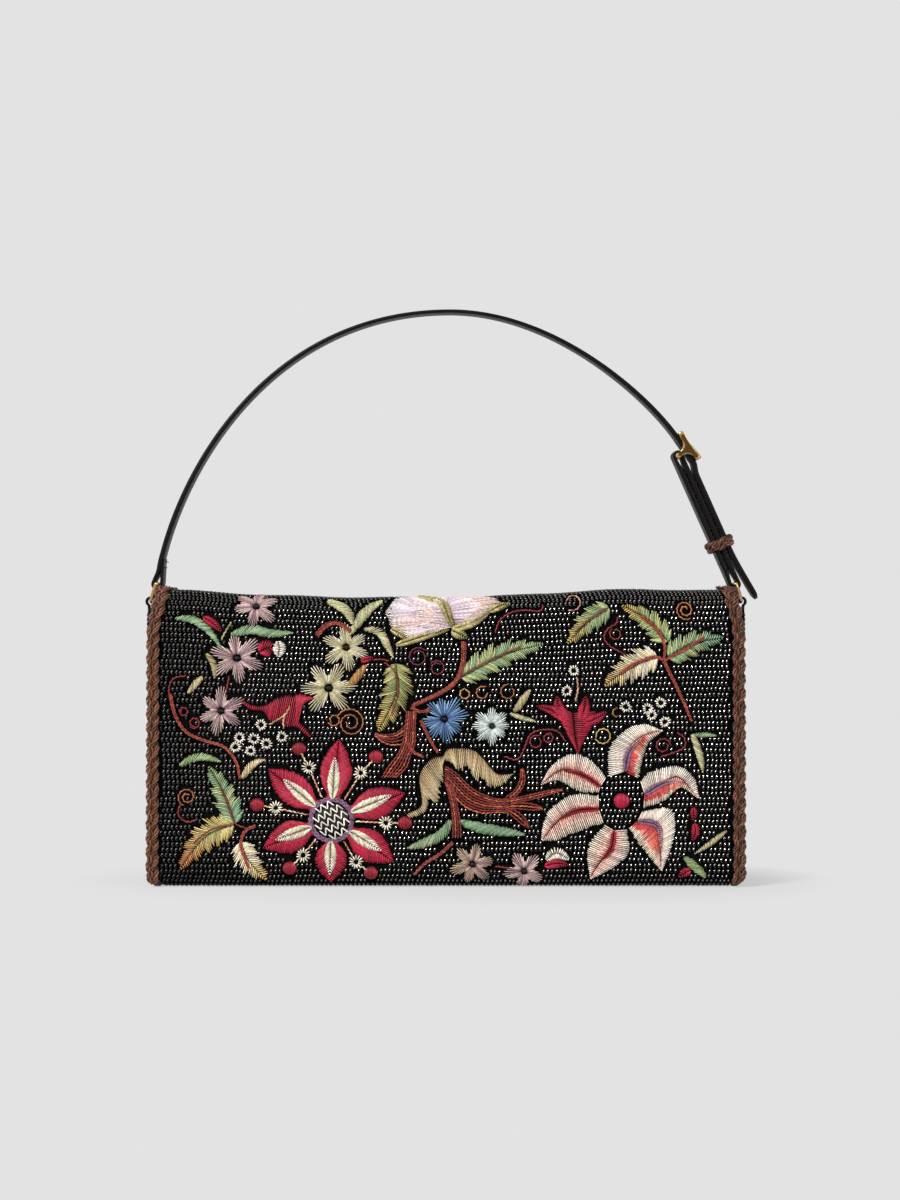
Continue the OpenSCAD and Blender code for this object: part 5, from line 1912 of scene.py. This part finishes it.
def long_strap():
    """The long strap, whose free end is rounded over its last 7 mm by the root of one less the
    square."""
    left = np.linalg.norm(np.diff(LONG_LINE, axis=0), axis=1)[::-1].cumsum()[::-1]
    left = np.append(left, 0.0)
    taper = np.sqrt(np.clip(1 - (1 - np.clip((left + 0.25) / TIP_ROUND, 0, 1)) ** 2, 0.02, 1))
    half_t = LONG_HALF * np.clip(0.6 + 0.4 * left / 2, 0, 1)
    points, quads, tris, uv, tone = sweep_strip(LONG_LINE, half_t, STRAP_HALF_W * taper)
    strap = make_piece("leather_long", points, quads, tris, "strap", STRAP_LEATHER,
                       uv=uv, tone=tone, replaces=["strap_long"])
    cuts = [slot_shape(in_buckle(0, PASS_OUT), SPAN_DIR, SPAN_OUT, reach_up=7, reach_down=1,
                       half=SLOT_HALF, depth=3)]
    for k in HOLE_PLACES:
        cuts.append(slot_shape(short_axis(k, LONG_OFF), SHORT_DIR, SHORT_SIDE, reach_up=HOLE_R,
                               reach_down=HOLE_R, half=HOLE_R, depth=2))
    punch(strap, cuts)


def short_strap():
    """A closed loop of two layers: an eye round the buckle's centre bar, straight runs, and a fold
    round the right D-ring's bar. The offset and the thickness ease between their values over 9
    mm."""
    k = np.concatenate([np.linspace(1, 12, 14), np.linspace(14, SHORT_LEN - 14, 22),
                        np.linspace(SHORT_LEN - 12, SHORT_LEN - 1, 14)])
    upper = k < SHORT_LEN / 2
    near = np.where(upper, smooth(k / 9), smooth((SHORT_LEN - k) / 9))
    off = mix(np.where(upper, EYE_R, FOLD_R), LAYER_OFF, near)
    half = mix(np.where(upper, EYE_T, FOLD_T), STRAP_T, near) / 2
    eye = arc(CENTRE_BAR, EYE_R, 204, 24, 24)
    fold = arc(RIGHT_BAR, FOLD_R, 24, -156, 20)
    line = np.vstack([eye, short_axis(k, off), fold, short_axis(k[::-1], -off[::-1])])
    half_t = np.concatenate([np.full(len(eye), EYE_T / 2), half, np.full(len(fold), FOLD_T / 2),
                             half[::-1]])
    points, quads, tris, uv, tone = sweep_strip(line, half_t, STRAP_HALF_W, closed=True)
    strap = make_piece("leather_short", points, quads, tris, "strap", STRAP_LEATHER,
                       uv=uv, tone=tone, replaces=["strap_short"])
    punch(strap, [slot_shape(CENTRE_BAR, SHORT_DIR, SHORT_SIDE, reach_up=3.7, reach_down=3.7,
                             half=SLOT_HALF, depth=5)])


long_strap()
short_strap()

# %% [markdown]
# ## Keeper
# The keeper is a short length of the same braid, sewn into a ring round the three layers of
# strap.

# %% Keeper
KEEPER_K = 48
KEEPER_CLEAR = 0.65
KEEPER_LOW = -2.95 - KEEPER_CLEAR
KEEPER_HIGH = 6.05 + KEEPER_CLEAR
KEEPER_HALF_Y = 7.2 + KEEPER_CLEAR
KEEPER_ROUND = 1.6
KEEPER_SCALE = 0.86


def keeper_loop():
    """Evenly spaced points (across the strap's layers, y) of a rounded rectangle: a quarter circle
    at each corner, with straight runs between them."""
    middle = (KEEPER_LOW + KEEPER_HIGH) / 2
    half = np.array([(KEEPER_HIGH - KEEPER_LOW) / 2, KEEPER_HALF_Y]) - KEEPER_ROUND
    corners = np.array([[1, 1], [-1, 1], [-1, -1], [1, -1]])
    line = np.vstack([arc(corner * half, KEEPER_ROUND, 90 * k, 90 * k + 90, 12)
                      for k, corner in enumerate(corners)])
    return evenly(np.vstack([line, line[:1]]), 241) + [middle, 0]


def keeper():
    """The plait goes round the loop. Along is the way round, and across is along the strap."""
    loop = keeper_loop()
    step = np.gradient(loop, axis=0)
    step[[0, -1]] = step[1]
    outward = -left_of(unit_rows(step))
    length = length_of(loop)
    gone = np.linspace(0, length, len(loop))

    def place(a, b, h):
        at = np.mod(b, length)
        layer = np.interp(at, gone, loop[:, 0]) + np.interp(at, gone, outward[:, 0]) * h
        y = np.interp(at, gone, loop[:, 1]) + np.interp(at, gone, outward[:, 1]) * h
        flat = short_axis(KEEPER_K - a, layer)
        return np.stack([flat[..., 0], y, flat[..., 1]], axis=-1)

    shade_core = band(place, np.linspace(0, length, 60, endpoint=False), half=2.9, low_h=-0.5, high_h=0.35,
                closed=True)
    plait("plaited_keeper", place, 0, length, shade_core, "keeper", ["strap_keeper"],
          scale=KEEPER_SCALE)


keeper()

# %% [markdown]
# ## Ring tabs and their stitches
# A tab of black leather goes round the curved side of each D-ring, and its two layers are
# sewn flat to the gusset with brown thread. It is narrow at the ring and wide where it is
# sewn.

# %% Small stitches in rows
SEWING_BROWN = hue(58, 48, 40)
SEWING_SIDES = 5


def stitch_row(name, lines, outs, body, colour, radius=0.22):
    """Short closed tubes, each from a start to an end with its middle raised."""
    n = len(lines)
    tone = np.tile(colour, (n * (lines.shape[1] * SEWING_SIDES + 2), 1))
    points, quads, tris, uv = tubes(lines, outs, np.full(lines.shape[:2], radius), sides=SEWING_SIDES)
    return make_piece(name, points.reshape(-1, 3), quads, tris, body, CORD_SILK,
                      uv=uv.reshape(-1, 2), tone=tone)


def dashes(corners, pitch=2.2, share=0.68):
    """Start and end points of even stitches along a line through the corners."""
    line = evenly(np.array(corners, float), 200)
    count = max(1, int(length_of(line) / pitch))
    at = np.linspace(0, 1, 200)
    first = (np.arange(count) + (1 - share) / 2) / count
    last = first + share / count
    return [np.stack([np.interp(t, at, line[:, k]) for k in (0, 1)], axis=1) for t in (first, last)]


def raised(first, last, outward, lift=0.16, sunk=0.2):
    """Four points of each stitch: both ends sunk, the middle raised."""
    share = np.array([0.0, 0.2, 0.8, 1.0])[None, :, None]
    height = np.array([-sunk, lift, lift, -sunk])[None, :, None]
    return first[:, None] + (last - first)[:, None] * share + np.asarray(outward) * height


# %% Ring tabs
RING_LOW = np.array([144.878, 137.943])
TAB_INNER_X = PANEL_HALF + GUSSET_T + 0.6
TAB_OUTER_X = TAB_INNER_X + 1.2
TAB_FOOT = low("ring_tab_right")[2]
TAB_HALF_T = 0.57
TAB_LOOP_R = 2.05
TAB_WIDE = 4.5
TAB_NARROW = 2.1
TAB_SHOULDER = 129.0
TAB_SEAM_TOP = 132.5
TAB_STRAIGHT_TOP = 134.2


def tab_line():
    """Up the outer layer, round the hole as a stadium, and down the inner layer."""
    inner_top = TAB_STRAIGHT_TOP + 0.2
    up = np.stack([np.full(24, TAB_OUTER_X), np.linspace(TAB_FOOT, TAB_STRAIGHT_TOP, 24)], axis=1)
    right = arc(RING_LOW + [0.5, 0], TAB_LOOP_R, -62, 90, 16)
    left = arc(RING_LOW - [1.4, 0], TAB_LOOP_R, 90, 250, 18)
    down = np.stack([np.full(24, TAB_INNER_X), np.linspace(inner_top, TAB_FOOT + 0.3, 24)], axis=1)
    return evenly(np.vstack([up, right, left, down]), 130)


def ring_tab(name, side):
    """The strip along the tab's line, wide at its foot and narrow at the ring, and its stitches."""
    line = tab_line()
    half_w = mix(TAB_WIDE, TAB_NARROW, smooth((line[:, 1] - TAB_SHOULDER) / 6.5))
    foot = np.clip((line[:, 1] - TAB_FOOT) / 2.2, 0, 1)
    half_w = half_w * (0.72 + 0.28 * np.sqrt(foot))
    points, quads, tris, uv, tone = sweep_strip(line, TAB_HALF_T, half_w)
    points = points * [side, 1, 1]
    make_piece(name, points, quads, tris, "root", TAB_LEATHER, uv=uv, tone=tone,
               replaces=[name.replace("leather", "ring")])
    half_seam = [(2.2, TAB_SEAM_TOP), (3.3, TAB_SHOULDER), (3.3, TAB_FOOT + 1.6)]
    corners = half_seam + [(-y, z) for y, z in half_seam[::-1]]
    ends = [grid_points(TAB_OUTER_X + TAB_HALF_T, p[:, 0], p[:, 1]) for p in dashes(corners)]
    lines = raised(*ends, [1, 0, 0]) * [side, 1, 1]
    outs = np.broadcast_to([side, 0.0, 0.0], lines.shape)
    stitch_row(name.replace("leather", "sewn"), lines, outs, "root", SEWING_BROWN)


ring_tab("leather_tab_left", -1)
ring_tab("leather_tab_right", 1)

# %% Stitches on the strap
def strap_stitches():
    """Two short rows across the long strap where its fold-back ends, and one across the short strap
    by the ring, on both faces of each."""
    lines = []
    outs = []
    for u in (9.0, 11.8):
        half = float(mix(FOLD_T / 2, STRAP_T / 2, smooth(u / FOLD_LEN)))
        for face, off in ((LEFT_SIDE, FOLD_T + 0.05), (-LEFT_SIDE, 2 * half + 0.05)):
            middle = LEFT_BAR + u * LEFT_DIR + off * face
            lines.append(across_stitches(middle, face))
            outs.append(face)
    for off in (-1, 1):
        middle = short_axis(SHORT_LEN - 12.0, off * (LAYER_OFF + STRAP_T / 2))
        lines.append(across_stitches(middle, off * SHORT_SIDE))
        outs.append(off * SHORT_SIDE)
    full = np.concatenate([np.broadcast_to([out[0], 0, out[1]], row.shape) for row, out in zip(lines, outs)])
    stitch_row("strap_stitches", np.concatenate(lines), full, "strap", hue(40, 34, 30))


def across_stitches(middle, face):
    """A row of stitches across the strap at a middle point of one face."""
    row = dashes([(-5.2, 0), (5.2, 0)], pitch=2.1)
    ends = [grid_points(middle[0], p[:, 0], middle[1]) for p in row]
    return raised(*ends, [face[0], 0, face[1]])


strap_stitches()

# %% [markdown]
# ## Zip
# The teeth, the stop, the slider and its pull stay as the model has them, with a bevel and
# plate. The leather on the pull is made again with round corners, and the leather zip ends
# get their grain.

# %% The pull's leather
def pull_leather():
    """A flat pad: its outline is a circle whose sine and cosine are raised to a low power, which
    makes it a rounded rectangle, and its thickness falls to its rim by a quarter circle."""
    first = low("zip_pull_tab")
    last = high("zip_pull_tab")
    middle = (first + last) / 2
    half = (last - first) / 2
    sides = 72
    turn = np.linspace(0, 2 * math.pi, sides, endpoint=False)[None, :]
    power = 0.3
    ex = np.sign(np.cos(turn)) * np.abs(np.cos(turn)) ** power
    ey = np.sign(np.sin(turn)) * np.abs(np.sin(turn)) ** power
    level = np.radians(np.array([-88, -60, -30, 0, 30, 60, 88]))[:, None]
    inset = 0.8 * (1 - np.cos(level))
    x = middle[0] + (half[0] - inset) * ex
    y = middle[1] + (half[1] - inset) * ey
    z = middle[2] + half[2] * np.sin(level)
    rings = grid_points(x, y, z).reshape(-1, 3)
    poles = [middle - [0, 0, half[2]], middle + [0, 0, half[2]]]
    quads, tris = tube_faces(len(level), sides)
    mark = np.repeat((np.abs(np.degrees(level[:, 0])) < 70) * 1.0, sides)
    tone = np.append(mark, [0, 0])[:, None] * np.ones((1, 3))
    pad = make_piece("pull_leather", np.vstack([rings, poles]), quads, tris, "pull",
                     TAB_LEATHER, tone=tone, replaces=["zip_pull_tab"])
    pad.data.set_sharp_from_angle(angle=math.radians(50))
    w = half[1] - 1.3
    x0, x1 = first[0] + 1.5, last[0] - 1.5
    corners = [(x1, w), (x0 + 1, w), (x0, w - 1), (x0, 1 - w), (x0 + 1, -w), (x1, -w)]
    ends = [grid_points(p[:, 0], p[:, 1], last[2]) for p in dashes(corners, pitch=1.9)]
    lines = raised(*ends, [0, 0, 1])
    outs = np.broadcast_to([0.0, 0.0, 1.0], lines.shape)
    stitch_row("pull_stitches", lines, outs, "pull", SEWING_BROWN, radius=0.18)


pull_leather()

# %% The buckle
BUCKLE_BARS = [(-8.0, 7.25, 1.0), (6.1, 7.25, 1.0), (0.0, 0.0, 0.9)]
BAR_END = 8.6
PLATE_MIDDLE = (0.1, 6.05)
PLATE_IN_Y = 7.4
PLATE_OUT_Y = 9.2
TIP_HALF = 1.3
HOLLOW = 0.62
FLAT_FLANK = 0.2
OUTER_FLANK = 0.5


def plate_outline():
    """A closed line of three arms with hollow flanks: round each tip a half circle, and from tip to
    tip a curve pulled towards the middle."""
    middle = in_buckle(*PLATE_MIDDLE)
    tips = [in_buckle(a, o) for a, o, _ in BUCKLE_BARS]
    tips = sorted(tips, key=lambda p: math.atan2(*(p - middle)[::-1]))
    runs = []
    for tip in tips:
        heading = math.degrees(math.atan2(*(tip - middle)[::-1]))
        runs.append(arc(tip, TIP_HALF, heading - 90, heading + 90, 9))
    line = []
    for k, run in enumerate(runs):
        after = runs[(k + 1) % 3]
        beyond = np.dot(mix(run[-1], after[0], 0.5) - middle, SPAN_OUT)
        share = HOLLOW if beyond < OUTER_FLANK else FLAT_FLANK
        pull = mix(run[-1], middle, share)
        back = mix(after[0], middle, share)
        line += [run, bezier(run[-1], pull, back, after[0], 12)[:-1]]
    return middle, np.vstack(line)


def buckle():
    """Two domed plates, each a stack of outlines drawn in towards the middle, and three round
    bars."""
    middle, line = plate_outline()
    levels = [(0.7, -1.0), (0.9, -1.0), (0.98, -0.8), (1.0, -0.4), (1.0, 0.5), (0.96, 0.9),
              (0.86, 1.0), (0.78, 0.82), (0.4, 0.75)]
    wear = [0, 0, 0, 0, 0, 0, 0, 0.9, 0.9]
    parts = []
    for side in (-1, 1):
        rings = []
        for share, depth in levels:
            y = side * mix(PLATE_IN_Y, PLATE_OUT_Y, 0.5 + 0.5 * depth)
            flat = middle + (line - middle) * share
            rings.append(grid_points(flat[:, 0], y, flat[:, 1]))
        poles = [[middle[0], side * y, middle[1]]
                 for y in (PLATE_IN_Y, mix(PLATE_IN_Y, PLATE_OUT_Y, 0.87))]
        quads, tris = tube_faces(len(levels), len(line))
        tone = np.repeat(np.append(wear, [0, 0.9]), [len(line)] * len(levels) + [1, 1])
        parts.append(plain(np.vstack([*rings, poles]), quads, tris, tone[:, None]))
    for along, out, radius in BUCKLE_BARS:
        at = in_buckle(along, out)
        turn = np.linspace(0, 2 * math.pi, 28, endpoint=False)
        y = np.array([-BAR_END, 0.2 - BAR_END, BAR_END - 0.2, BAR_END])[:, None]
        swell = np.array([0.8, 1.0, 1.0, 0.8])[:, None] * radius
        bar = grid_points(at[0] + swell * np.cos(turn), y, at[1] + swell * np.sin(turn))
        ends = [[at[0], end, at[1]] for end in (-BAR_END - 0.05, BAR_END + 0.05)]
        parts.append(plain(np.vstack([bar.reshape(-1, 3), ends]), *tube_faces(len(y), len(turn))))
    piece = make_joined("gold_buckle", parts, "strap", GOLD, ["buckle_frame"])
    piece.data.set_sharp_from_angle(angle=math.radians(48))


buckle()

# %% Finishes of the model's own pieces
FINISHES = {
    "front_board": BOARD, "back_board": BOARD, "base_board": BOARD,
    "zip_end_left": TAB_LEATHER, "zip_end_right": TAB_LEATHER,
    "zip_bottom_stop": GOLD, "zip_teeth_front": GOLD, "zip_teeth_back": GOLD, "zip_slider": GOLD,
    "zip_pull": GOLD, "ring_left": GOLD, "ring_right": GOLD, "buckle_tongue": GOLD}
BEVELS = {"buckle_tongue": 0.35, "zip_slider": 0.2, "zip_pull": 0.25,
          "zip_teeth_front": 0.2, "zip_teeth_back": 0.2, "zip_bottom_stop": 0.25,
          "zip_end_left": 0.2, "zip_end_right": 0.2}
for node, finish in FINISHES.items():
    piece = frame["nodes"][node]
    piece.data.materials.clear()
    piece.data.materials.append(finish)
for node, width in BEVELS.items():
    piece = frame["nodes"][node]
    weld = piece.modifiers.new("weld", "WELD")
    weld.merge_threshold = 0.01 * MM
    bevel = piece.modifiers.new("bevel", "BEVEL")
    bevel.width = width * MM
    bevel.segments = 2
    bevel.limit_method = "ANGLE"
    bevel.angle_limit = math.radians(35)
    bevel.harden_normals = True
print("the model's own pieces:", len(FINISHES))

# %% [markdown]
# ## Cloth as it was cut
# The flat sizes of the cloths are worked out here. The lining's is a cross: its strip, and an
# end wall on either side of it.

# %% The flat cloths
WALL_DEPTH = 2 * wall_half(BODY_H / 2)
LINING_STRIP = (2 * LINING_END, 2 * np.interp(LINING_TOP, WALL_Z, WALL_S))
LINING_AREA = LINING_STRIP[0] * LINING_STRIP[1] + 2 * LINING_TOP * WALL_DEPTH
for wall in satin_walls:
    WALL_DEPTH * MM
LINING_AREA * MM * MM
print("cloths with a flat size:", 3 + len(satin_walls))

# %% [markdown]
# ## Camera
# The picture was taken from in front, level with the middle of the frame, so the camera looks
# straight along +Y. Its distance and lens make one millimetre of the front face about two
# pixels of a picture 1200 pixels high.

# %% Camera
CAMERA_PLACE = (1.93 * MM, -1.3255, 138.7 * MM)
CAMERA_LENS = 80.7
camera = bpy.data.objects.new("camera", bpy.data.cameras.new("camera"))
camera.location = CAMERA_PLACE
camera.rotation_euler = (math.radians(90), 0, 0)
camera.data.sensor_width = 36.0
camera.data.lens = CAMERA_LENS
camera.data.clip_end = 50.0
scene.collection.objects.link(camera)
scene.camera = camera

# %% [markdown]
# ## Light and floor
# The world is even and pale. What the camera and the reflections see of it is the picture's
# pale grey. A small bright lamp up on the left lights the painted highlights on the beads, and a
# wide soft one fills from the right. The floor glows with the same grey far away, and near the
# bag it is partly a plain matt white, which takes the soft shadow.

# %% World, lamps and floor
BACKDROP = hue(227, 227, 227)
AMBIENT = 0.38
FLOOR_SHARE = 0.42
FLOOR_REACH_X = 0.2
FLOOR_REACH_Y = 0.12
BAG_MIDDLE = (0, 0, 0.12)


def mix_shaders(tree, share, first, second, output):
    """Two shaders mixed by a share and joined to the tree's output."""
    mixed = tree.nodes.new("ShaderNodeMixShader")
    for place, socket in zip(mixed.inputs, (share.socket, first.outputs[0], second.outputs[0])):
        tree.links.new(socket, place)
    tree.links.new(mixed.outputs[0], tree.nodes[output].inputs["Surface"])


def light_up_world():
    """An even light, except where the camera, a reflection or a glass looks straight at it."""
    world = bpy.data.worlds.new("studio")
    world.use_nodes = True
    scene.world = world
    tree = world.node_tree
    seen = tree.nodes["Background"]
    seen.inputs["Color"].default_value = (*BACKDROP, 1)
    even = tree.nodes.new("ShaderNodeBackground")
    even.inputs["Strength"].default_value = AMBIENT
    even.inputs["Color"].default_value = (1, 1, 1, 1)
    path = tree.nodes.new("ShaderNodeLightPath")
    eye, glossy, clear = (Field(tree, path.outputs[f"Is {kind} Ray"])
                          for kind in ("Camera", "Glossy", "Transmission"))
    mix_shaders(tree, eye + glossy + clear, even, seen, "World Output")


def lamp(name, place, aim, size, energy):
    """A square soft lamp that faces its aim."""
    light = bpy.data.lights.new(name, "AREA")
    light.shape = "SQUARE"
    light.size = size
    light.energy = energy
    thing = bpy.data.objects.new(name, light)
    thing.location = place
    direction = Vector(aim) - Vector(place)
    thing.rotation_euler = direction.to_track_quat("-Z", "Y").to_euler()
    scene.collection.objects.link(thing)


def lay_floor():
    """A flat sheet whose matt share fades from FLOOR_SHARE to nothing where the fourth power of x
    over its reach and the square of y over its reach come to one."""
    s = Shader("floor_matt", Roughness=0.9, Specular_IOR_Level=0.0)
    s.main.inputs["Base Color"].default_value = (0.61, 0.61, 0.61, 1)
    glow = s.node("Emission", Color=(*BACKDROP, 1), Strength=1.0).socket.node
    x, y, _ = s.parts(s.place())
    x = x * (1 / FLOOR_REACH_X)
    y = y * (1 / FLOOR_REACH_Y)
    share = s.remap(x * x * x * x + y * y, 0.05, 1.0, FLOOR_SHARE, 0.0, soft=True)
    mix_shaders(s.tree, share, glow, s.main, "Material Output")
    mesh = bpy.data.meshes.new("floor")
    mesh.from_pydata([(-12, -4, 0), (12, -4, 0), (12, 20, 0), (-12, 20, 0)], [], [(0, 1, 2, 3)])
    mesh.materials.append(s.material)
    floor = bpy.data.objects.new("floor", mesh)
    scene.collection.objects.link(floor)


light_up_world()
lamp("key", (-0.9, -1.1, 1.2), BAG_MIDDLE, 0.4, 36.0)
lamp("fill", (1.4, -1.2, 0.5), BAG_MIDDLE, 1.1, 9.0)
lay_floor()
scene.view_settings.view_transform = "Standard"
